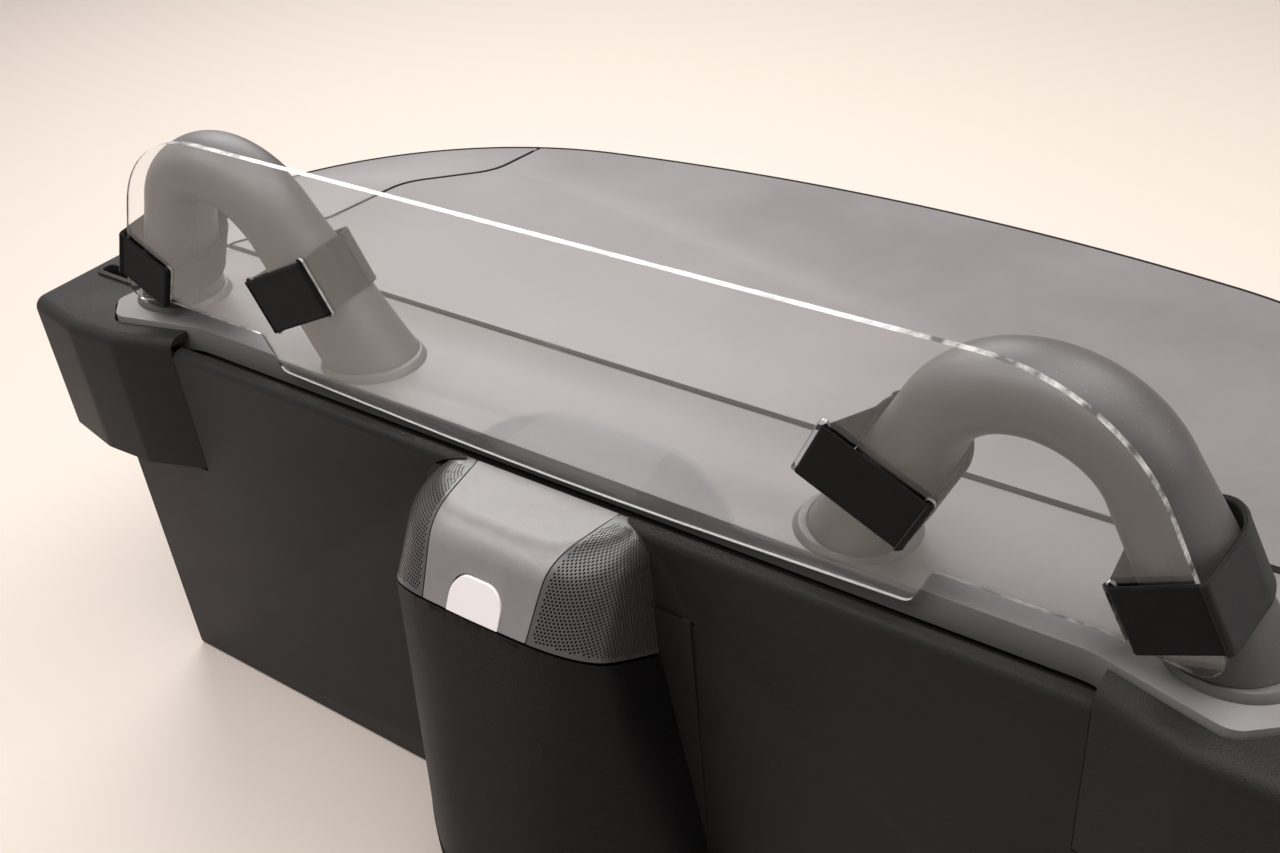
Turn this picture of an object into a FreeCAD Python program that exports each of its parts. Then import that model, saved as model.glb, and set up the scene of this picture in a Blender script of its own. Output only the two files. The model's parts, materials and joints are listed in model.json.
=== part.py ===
"""Rear bulkhead unit of a two-seat open car: roll hoops, wind deflector, shelf, stowage box and deck cover.

+X is across the car, +Y rearwards, +Z up. The origin is the middle of the four body bolts,
on the underside of the cross-member's end flanges. Lengths are millimetres, angles degrees.
"""
import FreeCAD, Part
import math
import os

V = FreeCAD.Vector
AXIS_X, AXIS_Y, AXIS_Z = V(1, 0, 0), V(0, 1, 0), V(0, 0, 1)

# Roll hoops
hoop_half_spacing = 369.0    # from the car's middle to a hoop's middle
hoop_foot_half = 129.5       # from a hoop's middle to a leg's line at the shelf
hoop_rise = 168.0            # from the shelf to the tube's line at the top
hoop_arch_r = 75.4
hoop_lean = 6.4              # forwards
hoop_foot_y = 53.2           # behind the deflector's line
tube_r = 19.0
tube_wall = 2.5
pad_wide = 27.5              # half widths of the padded cover at the top of the hoop
pad_deep = 32.8
pad_growth = 0.266           # how much larger the section is at the shelf
leg_extra = 60.0             # of the legs below the shelf, before they are cut off
pad_bore_gap = 0.3
pad_foot_gap = 0.3           # to the shelf
foot_plate_x = 96.0
foot_plate_y = 48.0
foot_plate_thick = 8.0
foot_plate_r = 8.0
collar_wide = 8.0
collar_front = 5.0           # narrower in front and behind, to clear the deflector
collar_high = 6.0
collar_top_share = 0.45      # of its width left at the top of its bevel
collar_gap = 0.4

# Cross-member and its body bolts
beam_past_foot = 61.5        # the box tube ends this far outside the outer feet
beam_deep = 70.0             # front to back
beam_high = 60.0
beam_wall = 3.0
flange_thick = 6.0
flange_reach = 75.0          # past the end of the tube
flange_deep = 96.0
flange_lap = 25.0            # under the end of the tube
bolt_hole_r = 5.5
bolt_past_beam = 40.0        # past the end of the tube
bolt_half_y = 28.0
flange_corner_r = 14.0
gusset_share = 0.8           # of the flange's reach
gusset_thick = 4.0

# Shelf: the straight front edge of its top is the line that the deflector stands on
edge_y = -62.0
edge_z = 82.0
shelf_slope = 4.0            # falls towards the rear
shelf_thick = 4.0
hole_clear = 3.0             # round the tubes in the shelf
shelf_deep = 150.0           # from the deflector's line to the deck seam
shelf_past_foot = 46.5
shelf_front_gap = 8.0        # from the deflector's line back to the shelf's straight edge
shelf_skirt = 25.0           # how far the front edge turns down
shelf_skirt_end = 22.0       # the turned-down edge stops ahead of the cross-member
nose_past_foot = 18.5        # the corner ahead of the outer foot of a hoop
nose_y = -17.0
nose_before_foot = 73.5      # where the edge leaves the straight line
nose_turn_r = 60.0
nose_tip_r = 18.0
shelf_side_r = 14.0
shelf_rib_thick = 4.0
shelf_rib_x = (0.0, 120.0, 430.0)
shelf_rib_back = 4.0         # from the cross-member's faces
seam_gap = 3.0               # joint between trim panels
deck_seam = 6.0              # wider joint between shelf and deck

# Wind deflector, in its own plane: x across, z up from the shelf's line
panel_thick = 5.0
panel_tilt = 1.3             # forwards
panel_top = 202.0
shoulder_before_foot = 73.8
panel_shoulder_r = 134.0
ear_past_foot = 15.5
panel_ear_z = 13.5
panel_ear_r = 15.0
step_before_foot = 58.5      # the bottom edge is raised from here inwards
step_long = 120.0
step_slant = 16.0
panel_step_z = 26.0
panel_step_r = 12.0          # round the step's three corners
panel_notch_r = 8.0
panel_foot_r = 10.0
panel_bottom_z = -8.0        # at the step
panel_sag_z = -18.0          # in the middle
panel_sag_r = 5000.0
slot_long = 55.0
slot_wide = 8.0
slot_round = 0.99            # share of its half width

# Straps: across is measured square to the leg's line, in the deflector's plane
strap_wide = 50.0
strap_thick = 2.4
strap_gap = 0.4              # to the deflector
strap_slack = 3.0            # to the leg, which leans against the deflector's plane
inner_strap_rise = 73.0      # height of the strap's middle on the leg
outer_strap_rise = 55.0
inner_slot_near = -50.5      # towards the car's middle
inner_slot_far = 30.0
outer_slot_near = -29.0
outer_wrap = 26.5            # the outer strap passes round the deflector's edge here

# Bulkhead: steel panel and the trim in front of it
steel_thick = 2.0
bulkhead_bottom = -360.0
bead_wide = 40.0
bead_deep = 12.0
bead_slope = 8.0
bead_first_x = 200.0
bead_pitch = 90.0
steel_clear = 2.0            # round the bin
steel_end_gap = 1.0          # to the end flanges
trim_thick = 3.5
trim_face = -21.0            # front face, from the deflector's line
trim_shoulder_z = -16.0      # top of the shoulder, from the shelf's line
trim_shoulder_r = 8.0
trim_groove_r = 2.0
trim_foot_r = 4.0
groove_front = -7.0          # the deflector's lower edge hangs in this groove
groove_floor = -31.0
trim_before_foot = 61.5
trim_touch = 0.3             # between the bulkhead trim and a side trim

# Side trims
side_past_foot = 141.5
side_front_y = -45.0
side_front_past_foot = 61.5
side_knee_past_foot = 1.5
side_knee_y = -42.0
side_end_y = -30.0
side_top_z = -4.0            # below the shelf's top
side_low_z = -150.0
side_shoulder_r = 12.0       # round upper edge
side_knee_r = 30.0
side_front_r = 40.0
side_corner_r = 16.0
side_inner_r = 16.0          # round the shelf's front corner
side_nook = 2.0              # how far its inner edge stays ahead of the shelf's front
side_step = 6.0
side_top_thick = 10.5
outlet_past_foot = 86.5      # belt outlet in the top face
outlet_y = 47.0
outlet_wide = 64.0
outlet_deep = 14.0
outlet_rim = 5.0
outlet_rim_high = 2.5
outlet_round = 0.9           # share of its half depth

# Housing of the stowage box, from the middle of the deflector's line: profiles swept past each other.
# Right half. Direction that each faces, in degrees from +X; how far out its sharp corner is; slope below
# the bend; how much further out than the joint the door's foot is
housing_faces = (
    (0.0, 108.4, 66.0, 8.0),
    (-30.0, 113.3, 62.0, 14.5),
    (-59.0, 92.75, 63.4, 24.0),
    (-75.0, 85.0, 59.3, 28.5),
    (-90.0, 74.5, 57.4, 31.0),
)
bend_drop = 26.0             # every bend ends this far below the flat top
box_top = -17.5
box_joint = -84.0            # level of the joint with the door
box_back_y = -8.5
box_wall = 3.0
box_seam_back_x = 70.0       # the seam between cover and grille, at the back of the box
box_seam_front_x = 51.0      # and at its front
box_seam_front_y = -112.0
box_seam = 0.6
hole_r = 2.2                 # perforated ends
hole_pitch = 7.5
hole_rim = 3.5               # plain strip round the holes
hood_thick = 3.0
door_gap = 4.0
door_bottom = -372.0
door_wall = 3.5
door_rim_y = -26.0
bin_half = 131.0
bin_wall = 3.0
bin_back_y = 122.0           # behind the deflector's line
bin_bottom = -388.0
bin_gap = 3.0                # from the bin's front edge to the door's rim
bin_flange = 12.0            # fastened to the front of the steel panel
button_half = 26.0
button_high = -46.0
button_thick = 8.0
button_gap = 0.8
button_r = 20.0
button_back_y = -60.0        # nothing of it lies behind here
hinge_y = -66.0
hinge_z = -380.0
hinge_r = 3.0
hinge_fit = 0.05
knuckle_r = 6.0
knuckle_in = 40.0
knuckle_out = 62.0
lug_thick = 8.0
lug_gap = 1.0                # to the knuckle
lug_r = 5.0
lug_drop = 4.0               # below the bin
lug_reach = 20.0             # back under the bin

# Deck cover behind the shelf, as wide as the side trims
deck_side_y = 325.0          # where the curved rear edge meets the side
deck_rear_y = 600.0
deck_rear_in = 279.0         # the rear edge is one arc between two points this far in from the sides
deck_rear_end_y = 566.0
deck_turn_in = 120.0
deck_turn_y = 492.0
deck_thick = 5.0
deck_rim = 14.0
deck_rim_thick = 4.0
flap_seam_past_foot = 13.5
flap_rear_in = 68.0          # the seam's rear part lies this much nearer the middle
flap_front_out = 39.0        # and its front part this much further out
flap_front_y = 162.0
flap_front_r = 8.0
flap_waist_y = 262.0
flap_knee_y = 375.0
flap_turn_y = 455.0
flap_knee_r = 60.0
flap_waist_r = 20.0
rail_before_hoop = 69.0      # from a hoop's middle inwards
rail_wide = 34.0
rail_high = 22.0
rail_wall = 2.0
rail_end_y = 520.0
rail_arm_y = 290.0           # the arm that carries the flap
rail_arm_past_foot = 91.5
rail_plate = 60.0
rail_plate_low = 8.0         # above the cross-member's underside
rail_lap = 20.0              # cut off at the cross-member
rail_plate_thick = 5.0

# What follows from them
outer_foot_x = hoop_half_spacing + hoop_foot_half
beam_half = outer_foot_x + beam_past_foot
bolt_half_x = beam_half + bolt_past_beam
shelf_half = outer_foot_x + shelf_past_foot
nose_x = outer_foot_x + nose_past_foot
trim_outer_x = outer_foot_x - trim_before_foot
side_outer_x = outer_foot_x + side_past_foot
deck_half = side_outer_x
rail_x = hoop_half_spacing - rail_before_hoop
rail_arm_end = outer_foot_x + rail_arm_past_foot
arch_z = hoop_rise - hoop_arch_r
foot_to_arch = math.hypot(hoop_foot_half, arch_z)
splay = math.degrees(math.acos(hoop_arch_r / foot_to_arch) - math.atan2(arch_z, hoop_foot_half))
leg_long = math.sqrt(foot_to_arch ** 2 - hoop_arch_r ** 2)
slope_rad = math.radians(shelf_slope)
steel_front = -beam_deep / 2 - steel_thick
steel_half = beam_half - flange_lap - steel_end_gap
foot_z = -hoop_foot_y * math.tan(slope_rad)      # the shelf's top at the hoops' feet
arch_end_z = arch_z + hoop_arch_r * math.sin(math.radians(splay))
CORNERS = ((-1, -1), (1, -1), (1, 1), (-1, 1))
FAR = 2000.0
NEAR = 400.0                 # well past the housing


def block(x0, x1, y0, y1, z0, z1):
    """Box between two corners."""
    return Part.makeBox(x1 - x0, y1 - y0, z1 - z0, V(x0, y0, z0))


def mirrored(shape):
    """The same piece on the other side of the car."""
    return shape.mirror(V(0, 0, 0), AXIS_X)


def outline(points, to_space):
    """Closed wire through (a, b, radius) points, each corner rounded by its radius."""
    count = len(points)
    spans = []
    for i, (a, b, r) in enumerate(points):
        here = V(a, b, 0)
        back = V(*points[i - 1][:2], 0) - here
        ahead = V(*points[(i + 1) % count][:2], 0) - here
        back.normalize()
        ahead.normalize()
        half = back.getAngle(ahead) / 2
        if r <= 0 or half > math.pi / 2 - 1e-4:
            spans.append((here, here, here))
            continue
        reach = r / math.tan(half)
        middle = back + ahead
        middle.normalize()
        crown = here + middle * (r / math.sin(half) - r)
        spans.append((here + back * reach, crown, here + ahead * reach))
    edges = []
    for i, (start, crown, end) in enumerate(spans):
        if start != end:
            edges.append(Part.Arc(*(to_space(p.x, p.y) for p in (start, crown, end))).toShape())
        after = spans[(i + 1) % count][0]
        if (after - end).Length > 1e-6:
            edges.append(Part.LineSegment(to_space(end.x, end.y), to_space(after.x, after.y)).toShape())
    return Part.Wire(edges)


def flat(z):
    """Maps an outline to the level z, seen from above."""
    return lambda a, b: V(a, b, z)


def side(x):
    """Maps an outline of (y, z) to the plane at x."""
    return lambda a, b: V(x, a, b)


def front(y):
    """Maps an outline of (x, z) to the plane at y."""
    return lambda a, b: V(a, y, b)


def plate(points, z, thick):
    """Rounded outline seen from above, thickened upwards."""
    return Part.Face(outline(points, flat(z))).extrude(V(0, 0, thick))


def profile(points, x0, x1):
    """Rounded (y, z) outline drawn out along X."""
    return Part.Face(outline(points, side(x0))).extrude(V(x1 - x0, 0, 0))


def symmetric(half):
    """Points of the right half, front to back, closed by the left half."""
    return list(half) + [(-a, b, r) for a, b, r in reversed(half)]


def strip(points, thick):
    """Outline of a bent sheet whose left side follows the points, thick to their right."""
    other = []
    for i, (a, b, r) in enumerate(points):
        here = V(a, b, 0)
        before = here - V(*points[i - 1][:2], 0) if i else None
        after = V(*points[i + 1][:2], 0) - here if i + 1 < len(points) else None
        before = before or after
        after = after or before
        before.normalize()
        after.normalize()
        right = V(before.y, -before.x, 0) + V(after.y, -after.x, 0)
        right.normalize()
        reach = thick / max(right.dot(V(after.y, -after.x, 0)), 0.2)
        turn = before.x * after.y - before.y * after.x
        inner_r = r + thick if turn > 0 else max(r - thick, 0)
        other.append((a + right.x * reach, b + right.y * reach, inner_r if r > 0 else 0))
    return list(points) + other[::-1]


def from_edge(shape):
    """Moves a piece drawn from the deflector's line on the shelf to its place."""
    shape.translate(V(0, edge_y, edge_z))
    return shape


def on_shelf(shape):
    """Places a piece drawn on the level shelf: y from the deflector's line, z from the shelf's top."""
    shape.rotate(V(0, 0, 0), AXIS_X, -shelf_slope)
    return from_edge(shape)


def on_panel(shape):
    """Places a piece drawn upright in the deflector's plane: y from its front face."""
    shape.rotate(V(0, 0, 0), AXIS_X, panel_tilt)
    return from_edge(shape)


def under_shelf(lift):
    """Everything below a plane that lies this far above the shelf's top."""
    return on_shelf(block(-FAR, FAR, -FAR, FAR, -FAR, lift))


def hoop_solid(wide, deep, growth):
    """Bent bar of oval section: one arch and two splayed legs that grow towards the shelf."""
    def section(z, scale):
        if abs(wide - deep) < 1e-6:
            return Part.Wire(Part.Circle(V(hoop_arch_r, 0, z), AXIS_Z, wide * scale).toShape())
        return Part.Wire(oval(hoop_arch_r, 0, wide * scale, deep * scale, z).toShape())

    arch = Part.Face(section(0, 1)).revolve(V(0, 0, 0), -AXIS_Y, 180 - 2 * splay)
    low = leg_long + leg_extra
    leg = Part.makeLoft([section(0, 1), section(-low, 1 + growth * low / leg_long)], True, True)
    bar = [arch, leg]
    for piece in bar:
        piece.rotate(V(0, 0, 0), -AXIS_Y, splay)
        piece.translate(V(0, 0, arch_z))
    return bar[0].fuse([bar[1], mirrored(bar[1])]).removeSplitter()


def stand_hoop(shape, sign):
    """Leans a hoop forwards and stands it on the shelf, left or right."""
    shape.rotate(V(0, 0, 0), AXIS_X, hoop_lean)
    shape.translate(V(sign * hoop_half_spacing, hoop_foot_y, foot_z))
    return from_edge(shape)


def leg_line(z):
    """A leg's distance from its hoop's middle, and its y behind the deflector's line, at height z."""
    drop = foot_z - z
    y = hoop_foot_y + drop * math.tan(math.radians(hoop_lean))
    return hoop_foot_half + drop * math.tan(math.radians(splay)) / math.cos(math.radians(hoop_lean)), y


def leg_feet(z):
    """X and y of the right hoop's two legs at height z."""
    out, y = leg_line(z)
    return [(hoop_half_spacing + s * out, y) for s in (-1, 1)]


def cross_member():
    """Box tube with bolted end flanges and gussets."""
    y = beam_deep / 2
    tube = block(-beam_half, beam_half, -y, y, 0, beam_high)
    w = beam_wall
    tube = tube.cut(block(-beam_half, beam_half, -y + w, y - w, w, beam_high - w))
    flange_in = beam_half - flange_lap
    f = flange_deep / 2
    flange = plate([(flange_in, -f, 0), (beam_half + flange_reach, -f, flange_corner_r),
                    (beam_half + flange_reach, f, flange_corner_r), (flange_in, f, 0)], 0, flange_thick)
    inner = block(flange_in, beam_half, -y + w, y - w, 0, flange_thick)
    flange = flange.cut(inner)
    for s in (-1, 1):
        hole = Part.makeCylinder(bolt_hole_r, flange_thick, V(bolt_half_x, s * bolt_half_y, 0))
        flange = flange.cut(hole)
    tip = beam_half + flange_reach * gusset_share
    corners = [(beam_half, flange_thick, 0), (tip, flange_thick, 0), (beam_half, beam_high, 0)]
    gusset = Part.Face(outline(corners, front(0))).extrude(V(0, gusset_thick, 0))
    gussets = []
    for start in (-y, y - gusset_thick):
        piece = gusset.copy()
        piece.translate(V(0, start, 0))
        gussets.append(piece)
    end = flange.fuse(gussets)
    return tube.fuse([end, mirrored(end)]).removeSplitter()


def hoop_tube(sign):
    """Steel tube of a hoop with its two foot plates on the cross-member."""
    bar = hoop_solid(tube_r, tube_r, 0).cut(hoop_solid(tube_r - tube_wall, tube_r - tube_wall, 0))
    bar = stand_hoop(bar, 1)
    top = beam_high + foot_plate_thick
    bar = bar.cut(block(-FAR, FAR, -FAR, FAR, -FAR, top))
    feet = []
    for x, y in leg_feet(top - edge_z):
        y += edge_y
        hx, hy = foot_plate_x / 2, foot_plate_y / 2
        corners = [(x + k * hx, y + m * hy, foot_plate_r) for k, m in CORNERS]
        feet.append(plate(corners, beam_high, foot_plate_thick))
    bar = bar.fuse(feet)
    return bar if sign > 0 else mirrored(bar)


def hoop_cover(sign):
    """Padded cover of a hoop, bored for the tube, standing on the shelf."""
    bore = tube_r + pad_bore_gap
    cover = hoop_solid(pad_wide, pad_deep, pad_growth).cut(hoop_solid(bore, bore, 0))
    cover = stand_hoop(cover, 1).cut(under_shelf(pad_foot_gap))
    return cover if sign > 0 else mirrored(cover)


def foot_ovals():
    """Centre and half widths of the covers' outline on the shelf, right hoop."""
    across = pad_wide * (1 + pad_growth) / math.cos(math.radians(splay))
    along = pad_deep * (1 + pad_growth)
    return [(x, y, across, along) for x, y in leg_feet(foot_z)]


def oval(x, y, across, along, z):
    """Ellipse seen from above, by its half widths."""
    if across > along:
        return Part.Ellipse(V(x + across, y, z), V(x, y + along, z), V(x, y, z))
    return Part.Ellipse(V(x, y + along, z), V(x + across, y, z), V(x, y, z))


def oval_plate(x, y, across, along, z, high):
    """Upright oval slab."""
    return Part.Face(Part.Wire(oval(x, y, across, along, z).toShape())).extrude(V(0, 0, high))


def collar(index, sign):
    """Bevelled ring round the foot of a cover."""
    x, y, across, along = foot_ovals()[index]
    levels = []
    for z, part in ((0, 1), (collar_high, collar_top_share)):
        a, b = across + collar_wide * part, along + collar_front * part
        levels.append(Part.Wire(oval(x, y, a, b, z).toShape()))
    ring = on_shelf(Part.makeLoft(levels, True, True))
    ring = ring.cut(stand_hoop(hoop_solid(pad_wide + collar_gap, pad_deep + collar_gap, pad_growth), 1))
    return ring if sign > 0 else mirrored(ring)


def shelf():
    """Sloping shelf with a turned-down front edge, ribs on the cross-member and holes for the tubes."""
    t = shelf_thick
    half = [(outer_foot_x - nose_before_foot, shelf_front_gap, nose_turn_r), (nose_x, nose_y, nose_tip_r),
            (shelf_half, shelf_front_gap, shelf_side_r), (shelf_half, shelf_deep, 0)]
    inner = [(outer_foot_x - nose_before_foot, shelf_front_gap + t, nose_turn_r - t),
             (nose_x - t / 2, nose_y + t, nose_tip_r - t),
             (shelf_half - t, shelf_front_gap, shelf_side_r - t), (shelf_half - t, FAR, 0)]
    body = plate(symmetric(half), -t, t)
    skirt = plate(symmetric(half), -shelf_skirt, shelf_skirt - t)
    skirt = skirt.cut(plate(symmetric(inner), -shelf_skirt, shelf_skirt - t))
    skirt = skirt.cut(block(-FAR, FAR, shelf_skirt_end, FAR, -FAR, FAR))
    hole = tube_r + hole_clear
    for x, y in leg_feet(foot_z):
        for s in (-1, 1):
            body = body.cut(oval_plate(s * x, y, hole / math.cos(math.radians(splay)), hole, -t, t))
    body = on_shelf(body.fuse(skirt))
    ribs = []
    reach = beam_deep / 2 - shelf_rib_back
    for x in sorted({s * x for x in shelf_rib_x for s in (-1, 1)}):
        rib = block(x - shelf_rib_thick / 2, x + shelf_rib_thick / 2, -reach, reach, beam_high, edge_z)
        ribs.append(rib.cut(on_shelf(block(-FAR, FAR, -FAR, FAR, -t, FAR))))
    return body.fuse(ribs).removeSplitter()


def strap_frame(shape, rise, sign_leg):
    """Turns a piece drawn square on an upright leg to the leg's place on the deflector."""
    shape.rotate(V(0, 0, 0), AXIS_Y, -sign_leg * splay)
    shape.translate(V(hoop_half_spacing + sign_leg * leg_line(rise)[0], 0, rise))
    return shape


def slots():
    """The slots that the straps pass through, right half: across, rise and leg."""
    half = strap_thick / 2
    return [(inner_slot_near - half, inner_strap_rise, -1), (inner_slot_far + half, inner_strap_rise, -1),
            (outer_slot_near - half, outer_strap_rise, 1)]


def deflector_panel():
    """Flat clear panel with round shoulders, two ears and six slots."""
    step_x = outer_foot_x - step_before_foot
    half = [(outer_foot_x - shoulder_before_foot, panel_top, panel_shoulder_r),
            (outer_foot_x + ear_past_foot, panel_ear_z, panel_ear_r),
            (step_x, panel_step_z, panel_step_r), (step_x - step_long, panel_step_z, panel_notch_r),
            (step_x - step_long - step_slant, panel_bottom_z, panel_foot_r)]
    points = half + [(0, panel_sag_z, panel_sag_r)] + [(-a, b, r) for a, b, r in reversed(half)]
    panel = Part.Face(outline(points, front(0))).extrude(V(0, panel_thick, 0))
    r = slot_wide / 2
    for across, rise, leg in slots():
        h = slot_long / 2
        corners = [(across + k * r, m * h, r * slot_round) for k, m in CORNERS]
        slot = Part.Face(outline(corners, front(-1))).extrude(V(0, panel_thick + 2, 0))
        slot = strap_frame(slot, rise, leg)
        panel = panel.cut([slot, mirrored(slot)])
    return on_panel(panel)


def strap(rise, leg, near, far, sign):
    """Closed band: flat in front of the deflector, round the back of the leg."""
    grow = 1 + pad_growth * (1 - (rise - foot_z - strap_wide / 2) / arch_end_z)
    middle = leg_line(rise)[1] + rise * math.tan(math.radians(panel_tilt))
    wide, deep = pad_wide * grow + strap_gap, pad_deep * grow + strap_slack

    def ring(extra):
        low, high = min(near, far), max(near, far)
        a, b = wide + extra, deep + extra
        f = strap_gap + extra
        arc = Part.ArcOfEllipse(Part.Ellipse(V(0, middle + b, 0), V(a, middle, 0), V(0, middle, 0)),
                                -math.pi / 2, math.pi / 2).toShape()
        left, right = V(-a, middle, 0), V(a, middle, 0)
        corner_l, corner_r = V(low - extra, -f, 0), V(high + extra, -f, 0)
        lines = [Part.LineSegment(left, corner_l).toShape(),
                 Part.LineSegment(corner_l, corner_r).toShape(),
                 Part.LineSegment(corner_r, right).toShape()]
        return Part.Face(Part.Wire([arc] + lines)).extrude(V(0, 0, strap_wide))

    band = ring(strap_thick).cut(ring(0))
    band.translate(V(0, 0, -strap_wide / 2))
    band = on_panel(strap_frame(band, rise, leg))
    return band if sign > 0 else mirrored(band)


def bulkhead_panel():
    """Pressed steel panel with upright beads, hung on the front of the cross-member."""
    points = [(-steel_half, steel_front, 0)]
    room = steel_half - bead_first_x - bead_wide
    middles = [bead_first_x + bead_pitch * i for i in range(int(room // bead_pitch) + 1)]
    for x in [-m for m in reversed(middles)] + middles:
        w = bead_wide / 2
        points += [(x - w, steel_front, 0), (x - w + bead_slope, steel_front - bead_deep, 0),
                   (x + w - bead_slope, steel_front - bead_deep, 0), (x + w, steel_front, 0)]
    points.append((steel_half, steel_front, 0))
    sheet = [(a, b + steel_thick, r) for a, b, r in points]
    panel = plate(strip(sheet, steel_thick), bulkhead_bottom, beam_high - bulkhead_bottom)
    wide = bin_half + steel_clear
    low, high = edge_z + bin_bottom - steel_clear, edge_z + box_joint + steel_clear
    hole = block(-wide, wide, -FAR, FAR, low, high)
    return panel.cut(hole)


def bulkhead_trim():
    """Moulded facing: a groove, a round shoulder, a return at its foot and an opening for the stowage box."""
    back = steel_front - bead_deep - edge_y
    low = bulkhead_bottom - edge_z
    points = [(shelf_front_gap + shelf_thick, groove_floor, 0), (groove_front, groove_floor, 0),
              (groove_front, trim_shoulder_z, trim_groove_r), (trim_face, trim_shoulder_z, trim_shoulder_r),
              (trim_face, low, trim_foot_r), (back, low, 0)]
    trim = profile(strip(points, -trim_thick), -beam_half, beam_half)
    corner = block(trim_outer_x, FAR, -FAR, FAR, side_low_z - seam_gap, FAR)
    head = housing(-seam_gap / 2, box_joint - 2 * hood_thick)
    hole = bin_half + seam_gap
    low = bin_bottom - lug_drop - seam_gap
    body = block(-hole, hole, -FAR, groove_front, low, box_joint + seam_gap)
    return from_edge(trim.cut([corner, mirrored(corner), head, body]))


def side_trim(sign):
    """Hollow corner moulding outside the shelf, with round shoulders and a rimmed belt outlet in its top."""
    t = trim_thick
    start = trim_outer_x + trim_touch
    knee_x = outer_foot_x + side_knee_past_foot
    front_x = outer_foot_x + side_front_past_foot
    skin = [(start, trim_face, 0), (knee_x, side_knee_y, side_knee_r), (front_x, side_front_y, side_front_r),
            (side_outer_x, side_end_y, side_corner_r), (side_outer_x, shelf_deep, 0)]
    inner_x = shelf_half + seam_gap
    inside = [(inner_x, shelf_deep, 0), (inner_x, shelf_front_gap - side_nook, side_inner_r),
              (nose_x, nose_y - seam_gap, nose_tip_r), (start, shelf_front_gap - side_step, 0)]
    body = plate(skin + inside, side_low_z, side_top_z - side_low_z)
    shoulder = [e for e in body.Edges if is_shoulder(e)]
    body = body.makeFillet(side_shoulder_r, shoulder)
    hollow = [(start - t, trim_face + t, 0), (knee_x, side_knee_y + t, side_knee_r - t),
              (front_x, side_front_y + t, side_front_r - t),
              (side_outer_x - t, side_end_y + t, side_corner_r - t),
              (side_outer_x - t, FAR, 0), (start - t, FAR, 0)]
    body = body.cut(plate(hollow, side_low_z + t, side_top_z - side_top_thick - side_low_z))
    x, y = outer_foot_x + outlet_past_foot, outlet_y
    rim = outlet_outline(x, y, outlet_rim)
    body = body.fuse(plate(rim, side_top_z - t, t + outlet_rim_high))
    slot = plate(outlet_outline(x, y, 0), side_top_z - side_top_thick, side_top_thick + outlet_rim_high)
    body = from_edge(body.cut(slot))
    return body if sign > 0 else mirrored(body)


def outlet_outline(x, y, extra):
    """Rounded outline of the belt outlet, grown by the rim."""
    a, b = outlet_wide / 2 + extra, outlet_deep / 2 + extra
    return [(x + k * a, y + m * b, b * outlet_round) for k, m in CORNERS]


def is_shoulder(edge):
    """True for the top edges along a side trim's front and outer side."""
    box = edge.BoundBox
    level = abs(box.ZMin - side_top_z) < 1e-6 and abs(box.ZMax - side_top_z) < 1e-6
    outside = box.XMin > side_outer_x - 1e-6 or box.YMax < nose_y - seam_gap - 1
    return level and (outside or box.XMin > shelf_half + 2 * seam_gap and box.YMax < shelf_front_gap)


def swept_profile(face, inset):
    """Start of the bend, its radius and its turn, on a housing face drawn in by a wall."""
    _, reach, slope, _ = face
    turn = math.radians(slope)
    r = bend_drop / (1 - math.cos(turn)) - inset
    corner = reach - inset * math.tan(turn / 2)
    return corner - r * math.tan(turn / 2), r, turn


def facing(face):
    """Unit vectors ahead of and across a housing face."""
    turn = math.radians(face[0])
    return V(math.cos(turn), math.sin(turn), 0), V(-math.sin(turn), math.cos(turn), 0)


def under_face(face, inset, low):
    """Everything inside one housing face: a flat top, the bend and the slope, swept sideways."""
    start, r, turn = swept_profile(face, inset)
    ahead, across = facing(face)
    corner = start + r * math.tan(turn / 2)
    top = box_top - inset
    foot = corner + (top - low) / math.tan(turn)
    points = [(-NEAR, top, 0), (corner, top, r), (foot, low, 0), (-NEAR, low, 0)]

    def place(a, b):
        return ahead * a - across * NEAR + V(0, 0, b)

    return Part.Face(outline(points, place)).extrude(across * 2 * NEAR)


def housing(inset, low):
    """Solid inside all the housing's faces, drawn in by a wall and cut off at a level."""
    solid = block(-NEAR, NEAR, -NEAR, box_back_y - inset, low, box_top - inset)
    for face in housing_faces:
        under = under_face(face, inset, low)
        solid = solid.common(under).common(mirrored(under))
    return solid


def face_depth(face, inset, place):
    """How far a housing face lies below the top at this place, seen from above."""
    start, r, turn = swept_profile(face, inset)
    ahead, _ = facing(face)
    past = ahead.dot(place) - start
    if past <= 0:
        return 0
    if past < r * math.sin(turn):
        return r - math.sqrt(r ** 2 - past ** 2)
    return r * (1 - math.cos(turn)) + (past - r * math.sin(turn)) * math.tan(turn)


def housing_shell():
    """The housing as a wall, open at its underside."""
    return housing(0, box_joint).cut(housing(box_wall, box_joint - box_wall))


def joint_outline(inset, back, share):
    """Points of the housing's outline at its joint, drawn in and carried back to y. Share 1: the door's foot."""
    lines = []
    for face in housing_faces:
        _, reach, slope, foot = face
        down = (box_top - box_joint) / math.tan(math.radians(slope))
        lines.append((facing(face)[0], reach + down + share * foot - inset))
    half = [(lines[0][1], back, 0)]
    for (a, near), (b, far) in zip(lines, lines[1:]):
        turn = a.x * b.y - a.y * b.x
        half.append(((near * b.y - far * a.y) / turn, (far * a.x - near * b.x) / turn, 0))
    return symmetric(half)


def seam_half(y):
    """Half width between the housing's two seams."""
    rate = (box_seam_back_x - box_seam_front_x) / (box_back_y - box_seam_front_y)
    return box_seam_front_x + rate * (y - box_seam_front_y)


def seam_wedge(extra):
    """Upright wedge between the two seams of the housing."""
    back, ahead = box_back_y + bin_half, box_seam_front_y - bin_half
    corners = [(seam_half(back) + extra, back, 0), (-seam_half(back) - extra, back, 0),
               (-seam_half(ahead) - extra, ahead, 0), (seam_half(ahead) + extra, ahead, 0)]
    return plate(corners, -FAR / 2, FAR)


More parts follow.
